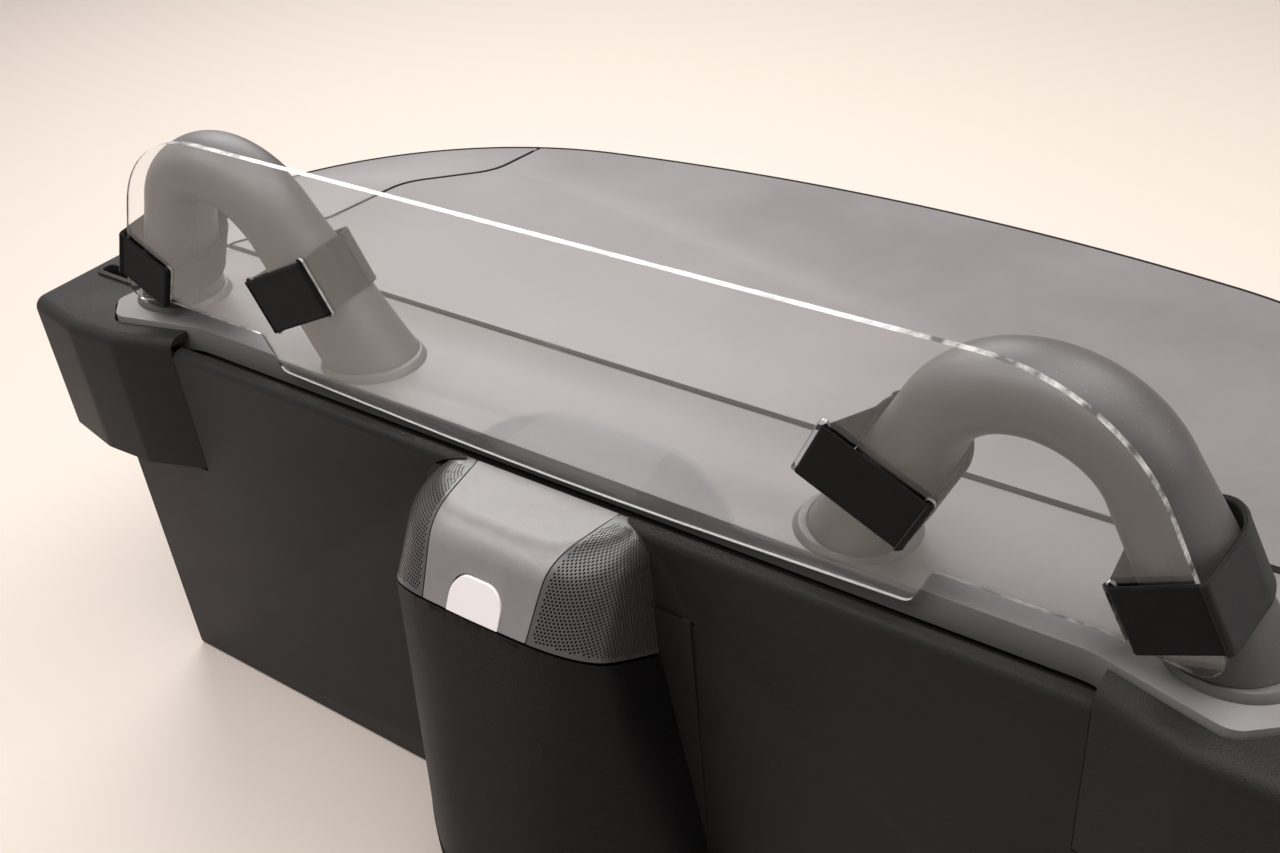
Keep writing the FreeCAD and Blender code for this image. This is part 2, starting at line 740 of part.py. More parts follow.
def button_outline(gap):
    """Prism of the latch button's round-headed outline, seen from the front."""
    w = button_half - gap
    low = box_joint - box_wall
    corners = [(-w, low, 0), (w, low, 0), (w, button_high - gap, button_r),
               (-w, button_high - gap, button_r)]
    return Part.Face(outline(corners, front(-FAR / 10))).extrude(V(0, FAR / 10, 0))


def box_cover():
    """Middle of the housing, between its perforated ends, with the button's cut-out."""
    return from_edge(housing_shell().common(seam_wedge(-box_seam / 2)).cut(button_outline(0)))


def hole_places(face):
    """Place and direction of each hole on a housing face: rows down the bend and the slope, every other row
    shifted by half a pitch, kept where this face is the outer one and a plain rim is left all round."""
    start, r, turn = swept_profile(face, 0)
    ahead, across = facing(face)
    clear = hole_r + hole_rim
    bend_long = r * turn
    slope_long = (box_top - box_joint - r * (1 - math.cos(turn))) / math.sin(turn)
    step = hole_pitch * math.cos(math.radians(30))
    for row in range(int((bend_long + slope_long - clear) / step)):
        run = (row + 0.5) * step
        tilt = min(run / r, turn)
        past = max(run - bend_long, 0)
        out = start + r * math.sin(tilt) + past * math.cos(turn)
        drop = r * (1 - math.cos(tilt)) + past * math.sin(turn)
        reach = int(FAR / 10 / hole_pitch)
        for column in range(-reach, reach):
            place = ahead * out + across * (column + row % 2 / 2) * hole_pitch
            others = [face_depth(other, 0, place + across * side * clear)
                      for other in housing_faces if other != face for side in (-1, 1)]
            inside = place.y < box_back_y - clear and place.x > seam_half(place.y) + clear
            if inside and drop > max(others) and box_top - drop > box_joint + clear:
                yield place + AXIS_Z * (box_top - drop), ahead * math.sin(tilt) + AXIS_Z * math.cos(tilt)


def hole(place, direction):
    """Six-sided cutter through the wall at this place."""
    across = direction.cross(AXIS_Z)
    across.normalize()
    other = direction.cross(across)
    depth = direction * 2 * box_wall
    turns = [math.radians(60 * i) for i in range(7)]
    ring = [place - depth + (across * math.cos(t) + other * math.sin(t)) * hole_r for t in turns]
    return Part.Face(Part.makePolygon(ring)).extrude(depth * 2)


def grille(sign):
    """Perforated end of the housing."""
    end = housing_shell().cut(seam_wedge(box_seam / 2)).common(block(0, FAR, -FAR, FAR, -FAR, FAR))
    cutters = [hole(*spot) for face in housing_faces for spot in hole_places(face)]
    end = from_edge(end.cut(cutters))
    return end if sign > 0 else mirrored(end)


def hood(gap):
    """Plate inside the foot of the housing, which rests on its upper edge; grown all round by a gap."""
    slopes = [math.radians(slope) for _, _, slope, _ in housing_faces]
    inset = max(box_wall / math.sin(a) + hood_thick / math.tan(a) for a in slopes) - gap
    return plate(joint_outline(inset, box_back_y - box_wall, 0), box_joint - gap, hood_thick + 2 * gap)


def latch_button():
    """Push button in the cut-out of the housing's cover, cut away over the hood."""
    body = housing(0, box_joint).cut(housing(button_thick, box_joint - button_thick))
    body = body.common(button_outline(button_gap)).common(block(-FAR, FAR, -FAR, button_back_y, -FAR, FAR))
    return from_edge(body.cut(hood(button_gap)))


def stowage_bin():
    """Open-fronted bin with the hood that carries the housing and the hinge's lugs."""
    top = box_joint
    w = bin_wall
    face = door_rim_y + bin_gap
    body = block(-bin_half, bin_half, face, bin_back_y, bin_bottom, top)
    body = body.cut(block(-bin_half + w, bin_half - w, face, bin_back_y - w, bin_bottom + w, top - w))
    lugs = []
    for s in (-1, 1):
        x = s * (knuckle_out + lug_gap + lug_thick / 2)
        drop = outline([(hinge_y - knuckle_r, hinge_z + knuckle_r, lug_r),
                        (hinge_y - knuckle_r, bin_bottom - lug_drop, lug_r),
                        (face + lug_reach, bin_bottom - lug_drop, 0), (face + lug_reach, bin_bottom, 0),
                        (face, bin_bottom + w, 0), (hinge_y + knuckle_r, hinge_z + knuckle_r, lug_r - 1)],
                       side(x - lug_thick / 2))
        lug = Part.Face(drop).extrude(V(lug_thick, 0, 0))
        lugs.append(lug)
    pin = Part.makeCylinder(hinge_r, FAR, V(-FAR / 2, hinge_y, hinge_z), AXIS_X)
    body = from_edge(body.fuse([hood(0)] + lugs).cut(pin))
    reach = bin_half + bin_flange
    low, high = edge_z + bin_bottom, edge_z + top
    flange = block(-reach, reach, steel_front - w, steel_front, low - bin_flange, high + bin_flange)
    flange = flange.cut(block(-bin_half, bin_half, -FAR, FAR, low, high))
    return body.fuse(flange)


def stowage_door():
    """Bowed tray that closes the bin, with its hinge knuckles."""
    top = box_joint - door_gap
    t = door_wall

    def bowed(inset, low, high):
        levels = [outline(joint_outline(inset, door_rim_y, k), flat(z)) for k, z in ((1, low), (0, high))]
        return Part.makeLoft(levels, True, True)

    outer = bowed(0, door_bottom, top)
    inner = bowed(t, door_bottom + t, top - t)
    tray = outer.cut(inner)
    knuckles = []
    for s in (-1, 1):
        x0 = knuckle_in if s > 0 else -knuckle_out
        wide = knuckle_out - knuckle_in
        knuckle = Part.makeCylinder(knuckle_r, wide, V(x0, hinge_y, hinge_z), AXIS_X)
        tie = block(x0, x0 + wide, hinge_y - knuckle_r, hinge_y, hinge_z, door_bottom + t / 2)
        knuckles.append(knuckle.fuse(tie))
    pin = Part.makeCylinder(hinge_r + hinge_fit, FAR, V(-FAR / 2, hinge_y, hinge_z), AXIS_X)
    return from_edge(tray.fuse(knuckles).cut(pin))


def hinge_pin():
    """One pin through both lugs and both knuckles."""
    reach = knuckle_out + lug_gap + lug_thick
    return from_edge(Part.makeCylinder(hinge_r, 2 * reach, V(-reach, hinge_y, hinge_z), AXIS_X))


def deck_half_outline(inset):
    """The rear edge as three arcs from right to left, drawn in by the inset."""
    side = V(deck_half - inset, deck_side_y, 0)
    rear = V(deck_half - deck_rear_in, deck_rear_end_y - inset, 0)
    turn = V(deck_half - deck_turn_in, deck_turn_y, 0)
    inwards = (side + rear) * 0.5 - turn
    inwards.normalize()
    tail = (side, turn + inwards * inset, rear)
    arcs = [Part.Arc(*tail).toShape(),
            Part.Arc(rear, V(0, deck_rear_y - inset, 0), V(-rear.x, rear.y, 0)).toShape(),
            Part.Arc(*(V(-p.x, p.y, 0) for p in reversed(tail))).toShape()]
    return arcs, tail[0]


def deck_blank():
    """The whole deck with its turned-down rim, before the flaps are cut off."""
    start = shelf_deep + deck_seam

    def face(inset, y):
        arcs, corner = deck_half_outline(inset)
        a = V(-corner.x, y, 0)
        b = V(corner.x, y, 0)
        lines = [Part.LineSegment(V(-corner.x, corner.y, 0), a).toShape(), Part.LineSegment(a, b).toShape(),
                 Part.LineSegment(b, corner).toShape()]
        return Part.Face(Part.Wire(arcs + lines))

    top = face(0, start)
    top.translate(V(0, 0, -deck_thick))
    top = top.extrude(V(0, 0, deck_thick))
    rim = face(0, start)
    rim.translate(V(0, 0, -deck_rim))
    rim = rim.extrude(V(0, 0, deck_rim - deck_thick))
    hollow = face(deck_rim_thick, start - 1)
    hollow.translate(V(0, 0, -deck_rim))
    hollow = hollow.extrude(V(0, 0, deck_rim - deck_thick))
    return top.fuse(rim.cut(hollow)).removeSplitter()


def flap_area(gap):
    """Region of the right flap: outside the curved seam."""
    x = outer_foot_x + flap_seam_past_foot + gap
    far = FAR / 2
    points = [(x + flap_front_out, 0, 0), (x + flap_front_out, flap_front_y, flap_front_r),
              (x, flap_waist_y, flap_waist_r), (x, flap_knee_y, flap_knee_r),
              (x - flap_rear_in, flap_turn_y, flap_knee_r),
              (x - flap_rear_in, far, 0), (far, far, 0), (far, 0, 0)]
    return plate(points, -FAR / 10, FAR / 5)


def deck_cover():
    """Middle of the deck, between the two flaps."""
    area = flap_area(-seam_gap / 2)
    return on_shelf(deck_blank().cut([area, mirrored(area)]))


def deck_flap(sign):
    """Corner flap of the deck."""
    flap = on_shelf(deck_blank().common(flap_area(seam_gap / 2)))
    return flap if sign > 0 else mirrored(flap)


def deck_rail(sign):
    """Box rail under the deck, bolted to the rear of the cross-member."""
    start = (beam_deep / 2 - edge_y) / math.cos(slope_rad)
    w = rail_wall
    x = rail_x
    top = -deck_thick
    a, b = x - rail_wide / 2, x + rail_wide / 2
    bar = block(a, b, start - rail_lap, rail_end_y, top - rail_high, top)
    bore = block(a + w, b - w, start - rail_lap, rail_end_y, top - rail_high + w, top - w)
    arm = block(b, rail_arm_end, rail_arm_y, rail_arm_y + rail_wide, top - rail_high, top)
    bar = on_shelf(bar.cut(bore).fuse(arm))
    bar = bar.cut(block(-FAR, FAR, -FAR, beam_deep / 2, -FAR, FAR))
    back, half = beam_deep / 2, rail_plate / 2
    end = block(x - half, x + half, back, back + rail_plate_thick, rail_plate_low, beam_high)
    rail = bar.fuse(end)
    return rail if sign > 0 else mirrored(rail)


SIDES = (("left", -1), ("right", 1))
NODES = {"cross_member": cross_member(), "shelf": shelf(), "bulkhead_panel": bulkhead_panel(),
         "deflector_panel": deflector_panel(), "box_cover": box_cover(), "latch_button": latch_button(),
         "stowage_bin": stowage_bin(), "stowage_door": stowage_door(), "hinge_pin": hinge_pin(),
         "deck_cover": deck_cover(), "bulkhead_trim": bulkhead_trim()}
for name, sign in SIDES:
    NODES["hoop_tube_" + name] = hoop_tube(sign)
    NODES["hoop_cover_" + name] = hoop_cover(sign)
    NODES["collar_inner_" + name] = collar(0, sign)
    NODES["collar_outer_" + name] = collar(1, sign)
    NODES["strap_inner_" + name] = strap(inner_strap_rise, -1, inner_slot_near, inner_slot_far, sign)
    NODES["strap_outer_" + name] = strap(outer_strap_rise, 1, outer_slot_near, outer_wrap, sign)
    NODES["side_trim_" + name] = side_trim(sign)
    NODES["grille_" + name] = grille(sign)
    NODES["deck_flap_" + name] = deck_flap(sign)
    NODES["deck_rail_" + name] = deck_rail(sign)

os.makedirs("parts", exist_ok=True)
for name, shape in NODES.items():
    shape.exportStep("parts/" + name + ".step")
    print(name, len(shape.Solids), round(shape.Volume / 1000, 1), "cm3")
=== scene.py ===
"""Looks of a roadster's roll hoops, wind deflector, shelf, stowage box and deck cover. Lengths are metres."""
import json
import math
from contextlib import contextmanager

import bmesh
import bpy
import numpy as np
from bpy.props import FloatProperty, FloatVectorProperty, PointerProperty
from mathutils import Matrix, Vector


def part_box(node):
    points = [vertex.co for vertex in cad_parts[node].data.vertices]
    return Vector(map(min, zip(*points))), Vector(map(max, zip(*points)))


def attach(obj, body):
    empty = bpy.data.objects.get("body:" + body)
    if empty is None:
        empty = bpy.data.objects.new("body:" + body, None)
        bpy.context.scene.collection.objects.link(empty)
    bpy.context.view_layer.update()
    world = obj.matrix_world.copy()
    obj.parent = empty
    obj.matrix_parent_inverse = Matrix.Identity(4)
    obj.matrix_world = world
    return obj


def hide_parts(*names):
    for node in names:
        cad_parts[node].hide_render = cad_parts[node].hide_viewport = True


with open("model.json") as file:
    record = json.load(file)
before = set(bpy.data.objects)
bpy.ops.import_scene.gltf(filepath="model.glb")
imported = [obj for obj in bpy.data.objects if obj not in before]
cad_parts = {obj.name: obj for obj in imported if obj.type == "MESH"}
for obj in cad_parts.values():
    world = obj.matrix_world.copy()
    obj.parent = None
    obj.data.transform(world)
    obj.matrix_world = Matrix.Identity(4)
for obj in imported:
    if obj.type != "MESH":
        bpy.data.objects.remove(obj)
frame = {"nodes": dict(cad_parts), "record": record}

bl_info = {
    "name": "Roll hoops and wind deflector",
    "version": (1, 0, 0),
    "blender": (4, 5, 0),
    "location": "View3D > Sidebar > Deflector unit",
    "description": "Dresses the packed frame of a roadster's roll hoop and wind deflector unit",
    "category": "Object",
}

NODES = frame["nodes"]
SIDES = (("left", -1), ("right", 1))
UNIT, DOOR = "unit", "door"
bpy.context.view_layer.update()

# Angles between faces: flat enough to be joined, sharp enough for a bevel on a CAD node's copy or on a cut
# piece, and for a sharp edge in shading
FLAT, BEVELLED, CUT, SHARP = (math.radians(degrees) for degrees in (0.6, 32.0, 50.0, 38.0))


# Sizes and colours that a user would change

def length(name, value):
    """A length property in metres."""
    return FloatProperty(name=name, default=value, min=-5.0, max=5.0, subtype="DISTANCE", unit="LENGTH",
                         precision=5)


def angle(name, degrees):
    """An angle property, given in degrees."""
    return FloatProperty(name=name, default=math.radians(degrees), subtype="ANGLE", unit="ROTATION")


def colour(name, value):
    """A linear colour."""
    return FloatVectorProperty(name=name, default=value, min=0.0, max=1.0, size=3, subtype="COLOR")


class ShelfSizes(bpy.types.PropertyGroup):
    """The shelf's straight front line, from which everything is placed, and the deck."""
    edge_y: length("Where the deflector stands, front to back", -0.062)
    edge_z: length("Top of the shelf at the deflector", 0.082)
    slope: angle("Fall of shelf and deck towards the rear", 4.0)
    seam_y: length("Seam between shelf and deck, from the line", 0.153)
    seam_deep: length("Depth of the shelf's seal below the surface", 0.0036)
    seam_seal: length("Radius of the shelf's seal", 0.0055)
    edge_seal: length("Radius of the deck edge's seal", 0.0022)
    # The rods in the flap gaps are dark rubber laid there as painted shade of the gaps.
    flap_gap_shade_rod: length("Radius of the flaps' seals", 0.0019)
    skin: colour("Matt grained skin of shelf and deck", (0.150, 0.136, 0.137))
    seal: colour("Rubber in the seams", (0.006, 0.0055, 0.0055))


class HoopSizes(bpy.types.PropertyGroup):
    """Centre line and oval section of a roll hoop's padded cover."""
    spacing: length("From the car's middle to a hoop's middle", 0.369)
    foot_half: length("From a hoop's middle to a leg's line on the shelf", 0.1295)
    rise: length("Height of the centre line above the shelf", 0.168)
    arch_radius: length("Radius of the centre line's arch", 0.0754)
    foot_y: length("From the deflector's line back to the feet", 0.0532)
    lean: angle("Forward lean", 6.4)
    half_wide: length("Half width of the section at the top", 0.0275)
    half_deep: length("Half depth of the section at the top", 0.0328)
    growth: FloatProperty(name="Share by which the section is larger at the shelf", default=0.266)
    seam_turn: angle("Place of the double mould line round the section", 200.0)
    seam_apart: length("Between the two mould lines", 0.0042)
    seam_deep: length("Depth of a mould line", 0.0006)
    skin: colour("Soft-touch skin", (0.062, 0.056, 0.056))


class StrapSizes(bpy.types.PropertyGroup):
    """Hook-and-loop straps round the hoops' legs."""
    wide: length("Width of the webbing", 0.050)
    thick: length("Thickness of one layer", 0.0022)
    gap: length("Gap to the deflector's front", 0.0004)
    slack: length("Room behind the leg", 0.003)
    tilt: angle("Forward tilt of the deflector", 1.3)
    inner_rise: length("Height of the inner straps on the legs", 0.073)
    outer_rise: length("Height of the outer straps on the legs", 0.055)
    inner_near: length("Inner strap's near slot, across the leg", -0.0505)
    inner_far: length("Inner strap's far slot, across the leg", 0.030)
    outer_near: length("Outer strap's slot, across the leg", -0.029)
    outer_wrap: length("Outer strap's turn round the deflector's edge", 0.0265)
    web: colour("Webbing", (0.0065, 0.006, 0.006))
    fibre_sheen: colour("Loop side where it catches light", (0.020, 0.017, 0.016))


class BoxSizes(bpy.types.PropertyGroup):
    """Housing and door of the stowage box, from the line: levels, seams, button and the holes of its ends."""
    top: length("Level of the flat top", -0.0175)
    back: length("Back of the housing", -0.0085)
    joint: length("Level where the joint meets the back", -0.140)
    joint_front: length("Level of the joint at the seams' front", -0.0751)
    joint_fall: FloatProperty(name="Fall of the joint towards the back", default=0.63)
    seam_back: length("Half width between the seams at the back", 0.0705)
    seam_front: length("Half width between the seams at the front", 0.051)
    seam_front_y: length("Front of the seams", -0.112)
    seam: length("Width of the seams", 0.0011)
    shell: length("Thickness of the cover", 0.0026)
    button_half: length("Half width of the cover's cut-out", 0.0262)
    button_top: length("Top of the cover's cut-out", -0.0462)
    button_round: length("Corner radius of the cut-out", 0.0175)
    button_gap: length("Between button and cover", 0.0009)
    button_crown: length("How far the button stands out", 0.0012)
    button_thick: length("Thickness of the button", 0.006)
    pitch: length("Between holes", 0.0031)
    hole_radius: length("Radius of a hole", 0.00098)
    rim: length("Plain rim round the holes", 0.0026)
    sheet: length("Thickness of the perforated sheet", 0.0008)
    lining: length("From the sheet to its dark lining", 0.0034)
    door_side: length("Half width of the door at its rim", 0.1085)
    door_gap: length("From the housing to the door's rim", 0.0028)
    door_low: length("Underside of the door", -0.386)
    door_wall: length("Thickness of the door's walls", 0.0024)
    door_floor: length("Thickness of the door's floor", 0.014)
    door_back: length("Where the door's sides end", -0.026)
    cover: colour("Satin grained cover", (0.190, 0.172, 0.172))
    gloss: colour("Perforated ends", (0.060, 0.055, 0.055))
    button: colour("Cream-white button", (0.80, 0.735, 0.715))


class StageSizes(bpy.types.PropertyGroup):
    """Camera at the photograph's place, floor and lights."""
    eye: FloatVectorProperty(name="Place of the camera", size=3, subtype="TRANSLATION",
                             default=(0.6026, -0.7089, 0.7157))
    yaw: angle("Turn to the left", 38.32)
    pitch: angle("Look down", 34.62)
    roll: angle("Lean of the camera", 5.64)
    lens: FloatProperty(name="Focal length for a sensor 36 mm wide", default=39.42, subtype="DISTANCE_CAMERA")
    floor: length("Level of the floor", -0.36)
    floor_colour: colour("Pale floor", (0.57, 0.495, 0.44))
    floor_bounce: colour("What the floor throws back on the object", (0.22, 0.20, 0.19))
    hall: colour("Bright hall as it is seen and mirrored", (0.80, 0.77, 0.75))
    air: colour("Light of the hall on what faces it", (0.34, 0.33, 0.325))
    light: FloatProperty(name="Strength of the soft boxes", default=1.0, min=0.0)


# Meshes

def grid_quads(rows, columns, closed):
    """Quads of a grid of points whose rows follow each other; closed joins the last column to the first."""
    index = np.arange(rows * columns).reshape(rows, columns)
    if closed:
        index = np.concatenate([index, index[:, :1]], axis=1)
    return np.stack([index[:-1, :-1], index[:-1, 1:], index[1:, 1:], index[1:, :-1]], axis=-1).reshape(-1, 4)


def joined(*values):
    """Points from their coordinates, which may be arrays or single values."""
    return np.stack(np.broadcast_arrays(*values), axis=-1)


def tube_faces(rows, count):
    """Quads of a closed tube of rows of points, and both of its ends."""
    return list(grid_quads(rows, count, True)) + [range(count), range((rows - 1) * count, rows * count)]


def mesh_from(name, points, faces, material, smooth=True):
    """A mesh from an array of points and lists of faces."""
    mesh = bpy.data.meshes.new(name)
    places = np.asarray(points, float).reshape(-1, 3)
    mesh.from_pydata(places.tolist(), [], [list(map(int, face)) for face in faces])
    mesh.polygons.foreach_set("use_smooth", np.full(len(mesh.polygons), smooth))
    mesh.materials.append(material)
    return mesh


def linked(name, data):
    """A new object in the scene."""
    piece = bpy.data.objects.new(name, data)
    bpy.context.scene.collection.objects.link(piece)
    return piece


def coated(mesh, material):
    """Gives a mesh one material only."""
    mesh.materials.clear()
    mesh.materials.append(material)


@contextmanager
def opened(piece):
    """Opens a piece's mesh for changes, and writes them back."""
    work = bmesh.new()
    work.from_mesh(piece.data)
    yield work
    work.to_mesh(piece.data)
    work.free()


def add_piece(name, points, faces, material, body=UNIT, uv=None, smooth=True):
    """A mesh object on a body, its place in its mesh."""
    mesh = mesh_from(name, points, faces, material, smooth)
    if uv is not None:
        loops = np.zeros(len(mesh.loops), np.int32)
        mesh.loops.foreach_get("vertex_index", loops)
        layer = mesh.uv_layers.new(name="surface")
        layer.data.foreach_set("uv", np.asarray(uv, np.float32).reshape(-1, 2)[loops].ravel())
    mesh.update()
    piece = linked(name, mesh)
    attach(piece, body)
    return piece


def outward(piece):
    """Merges doubled points and turns every face outwards."""
    with opened(piece) as work:
        bmesh.ops.remove_doubles(work, verts=work.verts, dist=1e-6)
        bmesh.ops.dissolve_degenerate(work, edges=work.edges, dist=1e-6)
        bmesh.ops.recalc_face_normals(work, faces=work.faces)
    return piece


def slotted(piece, node=None):
    """Hides the CAD node that a piece replaces, if one is given."""
    if node:
        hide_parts(node)
    return piece


def bevel(piece, width, segments, least):
    """Rounds a piece's edges that turn by more than an angle. Returns the modifier."""
    change = piece.modifiers.new("Rounded edges", "BEVEL")
    change.width, change.segments = width, segments
    change.limit_method, change.angle_limit = "ANGLE", least
    return change


def softened(name, node, material, width=0.0, segments=3):
    """A merged copy of a CAD node with its flat faces joined and its sharp edges rounded by a bevel."""
    piece = linked(name, NODES[node].data.copy())
    with opened(piece) as work:
        bmesh.ops.remove_doubles(work, verts=work.verts, dist=2e-6)
        bmesh.ops.dissolve_limit(work, angle_limit=FLAT, verts=work.verts, edges=work.edges)
    coated(piece.data, material)
    piece.data.polygons.foreach_set("use_smooth", np.full(len(piece.data.polygons), True))
    if width:
        bevel(piece, width, segments, BEVELLED).harden_normals = True
    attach(piece, frame_body(node))
    return slotted(piece, node)


def baked(piece, sharp=SHARP):
    """Turns a piece's modifiers into its mesh and marks its sharp edges."""
    graph = bpy.context.evaluated_depsgraph_get()
    mesh = bpy.data.meshes.new_from_object(piece.evaluated_get(graph))
    piece.modifiers.clear()
    piece.data = mesh
    mesh.set_sharp_from_angle(angle=sharp)
    return piece


def face_arrays(mesh):
    """Normals and middles of a mesh's faces."""
    out = np.zeros((2, len(mesh.polygons) * 3))
    for name, row in zip(("normal", "center"), out):
        mesh.polygons.foreach_get(name, row)
    return out.reshape(2, -1, 3)


def thickened(piece, thick, centre, rim_slot=0):
    """A sheet made solid inwards, after its faces are turned away from a centre. Its rims can have the
    piece's second material."""
    outward(piece)
    normals, places = face_arrays(piece.data)
    if np.sum(normals * (places - centre)) < 0:
        piece.data.flip_normals()
    solid = piece.modifiers.new("Thickness", "SOLIDIFY")
    solid.thickness, solid.offset, solid.material_offset_rim = thick, -1.0, rim_slot
    return piece


def rod(path, radius):
    """A round bar carried along a level line of points: the circle turns with the line's direction."""
    sides = 12
    ahead = np.gradient(path, axis=0)
    ahead /= np.linalg.norm(ahead, axis=1)[:, None]
    across = joined(-ahead[:, 1], ahead[:, 0], 0.0)
    turn = np.linspace(0, 2 * np.pi, sides, endpoint=False)
    ring = across[:, None] * np.cos(turn)[:, None] + np.array([0, 0, 1.0]) * np.sin(turn)[:, None]
    return path[:, None] + radius * ring, tube_faces(len(path), sides)


def run_along(line):
    """Length along a line at each of its points."""
    return np.concatenate([[0], np.cumsum(np.linalg.norm(np.diff(line, axis=0), axis=1))])


def arc_through(first, middle, last, count):
    """Points on the circle through three points: its centre is where the perpendicular bisectors meet."""
    sides = np.array([np.subtract(middle, first), np.subtract(last, first)])
    squares = [np.dot(middle, middle) - np.dot(first, first), np.dot(last, last) - np.dot(first, first)]
    centre = np.linalg.solve(2 * sides, squares)
    start, halfway, end = (math.atan2(*(np.subtract(p, centre)[::-1])) for p in (first, middle, last))
    turns = np.unwrap([start, halfway, end])
    angles = np.linspace(turns[0], turns[2], count)
    radius = np.hypot(*np.subtract(first, centre))
    return centre + radius * joined(np.cos(angles), np.sin(angles))


def frame_body(node):
    """The body that carries a node."""
    bodies = frame["record"]["behaviour"]["bodies"]
    return next(body for body, names in bodies.items() if node in names)


# Places

def turn_x(points, turn):
    """Turns points about the X axis: y and z mix by the turn's cosine and sine."""
    c, s = math.cos(turn), math.sin(turn)
    x, y, z = np.moveaxis(points, -1, 0)
    return joined(x, c * y - s * z, s * y + c * z)


def from_line(points):
    """Moves points drawn from the deflector's line to their place."""
    shelf = bpy.context.scene.shelf_sizes
    return points + np.array([0.0, shelf.edge_y, shelf.edge_z])


def on_shelf(points):
    """Lays points drawn on the level on the sloping shelf."""
    return from_line(turn_x(points, -bpy.context.scene.shelf_sizes.slope))


def hoop_splay(hoop):
    """Angle of a leg to the upright: the tangent from the foot to the arch."""
    up = hoop.rise - hoop.arch_radius
    reach = math.hypot(hoop.foot_half, up)
    return math.acos(hoop.arch_radius / reach) - math.atan2(up, hoop.foot_half)


def leg_length(hoop):
    """Length of a leg's line, from the shelf to the arch."""
    up = hoop.rise - hoop.arch_radius
    return math.sqrt(hoop.foot_half ** 2 + up ** 2 - hoop.arch_radius ** 2)


# Materials

def node_tree(name):
    """A new material with one principled shader. Returns the material, its node tree and the shader."""
    material = bpy.data.materials.new(name)
    material.use_nodes = True
    return material, material.node_tree, material.node_tree.nodes["Principled BSDF"]


def plain(shader, **values):
    """Sets a shader's inputs to plain values. Each is named with underscores for its spaces."""
    for name, value in values.items():
        shader.inputs[name.replace("_", " ")].default_value = value


def pattern(tree, kind, scale, detail=2.0, rough=0.5, stretch=(1, 1, 1), space="Object"):
    """A noise or cell pattern in metres. Returns its value socket."""
    noise = kind == "noise"
    place = tree.nodes.new("ShaderNodeTexCoord")
    mapping = tree.nodes.new("ShaderNodeMapping")
    texture = tree.nodes.new("ShaderNodeTexNoise" if noise else "ShaderNodeTexVoronoi")
    mapping.inputs["Scale"].default_value = stretch
    if noise:
        plain(texture, Detail=detail, Roughness=rough)
    else:
        texture.feature = kind
    plain(texture, Scale=scale)
    tree.links.new(place.outputs[space], mapping.inputs["Vector"])
    tree.links.new(mapping.outputs["Vector"], texture.inputs["Vector"])
    return texture.outputs["Fac" if noise else "Distance"]


def ranged(tree, value, low, high, to_low=0.0, to_high=1.0):
    """Maps a value from one range to another."""
    node = tree.nodes.new("ShaderNodeMapRange")
    plain(node, From_Min=low, From_Max=high, To_Min=to_low, To_Max=to_high)
    tree.links.new(value, node.inputs["Value"])
    return node.outputs["Result"]


def mixed(tree, factor, first, second):
    """Mixes two colours by a factor."""
    node = tree.nodes.new("ShaderNodeMix")
    node.data_type = "RGBA"
    tree.links.new(factor, node.inputs["Factor"])
    for socket, value in ((node.inputs[6], first), (node.inputs[7], second)):
        if hasattr(value, "default_value"):
            tree.links.new(value, socket)
        else:
            socket.default_value = (*value, 1.0)
    return node.outputs[2]


def bumped(tree, shader, height, distance, strength=1.0, before=None):
    """Adds a bump of that height in metres to the shader. Returns the bump's normal."""
    bump = tree.nodes.new("ShaderNodeBump")
    plain(bump, Distance=distance, Strength=strength)
    tree.links.new(height, bump.inputs["Height"])
    if before is not None:
        tree.links.new(before, bump.inputs["Normal"])
    tree.links.new(bump.outputs["Normal"], shader.inputs["Normal"])
    return bump.outputs["Normal"]


def shaded(tree, shader, slow, body, rough_low, rough_high):
    """Gives a shader its colour, and a roughness that follows a slow pattern."""
    tree.links.new(body, shader.inputs["Base Color"])
    tree.links.new(ranged(tree, slow, 0.3, 0.7, rough_low, rough_high), shader.inputs["Roughness"])


def tinted(base, factor):
    """A colour made lighter or darker."""
    return tuple(min(1.0, c * factor) for c in base)


def moulded(name, base, roughness, grain=900.0, grain_deep=0.00012, mottle=9.0, dust=0.0, specular=0.5):
    """Moulded plastic: fine cell grain, slow mottling of colour and gloss, and a trace of dust."""
    material, tree, shader = node_tree(name)
    slow = pattern(tree, "noise", mottle, 4.0, 0.55)
    body = mixed(tree, ranged(tree, slow, 0.3, 0.7), tinted(base, 0.9), tinted(base, 1.1))
    if dust:
        speck = ranged(tree, pattern(tree, "noise", 700.0, 2.0, 0.7), 0.66, 0.78, 0.0, dust)
        body = mixed(tree, speck, body, (0.62, 0.58, 0.54))
    shaded(tree, shader, slow, body, roughness - 0.04, roughness + 0.04)
    first = bumped(tree, shader, pattern(tree, "SMOOTH_F1", grain), grain_deep)
    bumped(tree, shader, pattern(tree, "noise", grain * 2.6), grain_deep * 0.5, before=first)
    plain(shader, Specular_IOR_Level=specular)
    return material


def leathery(name, base, roughness):
    """Leather-like moulded skin: pebbles about 1.5 mm across with creases between them."""
    material, tree, shader = node_tree(name)
    plain(shader, Specular_IOR_Level=0.1)
    slow = pattern(tree, "noise", 7.0, 3.0)
    crease = ranged(tree, pattern(tree, "F1", 620.0), 0.25, 0.75, 1.0, 0.0)
    body = mixed(tree, ranged(tree, slow, 0.3, 0.7), tinted(base, 0.85), tinted(base, 1.15))
    shaded(tree, shader, slow, body, roughness - 0.05, roughness + 0.05)
    first = bumped(tree, shader, crease, 0.0002, 0.7)
    bumped(tree, shader, pattern(tree, "noise", 2200.0), 0.00004, before=first)
    return material


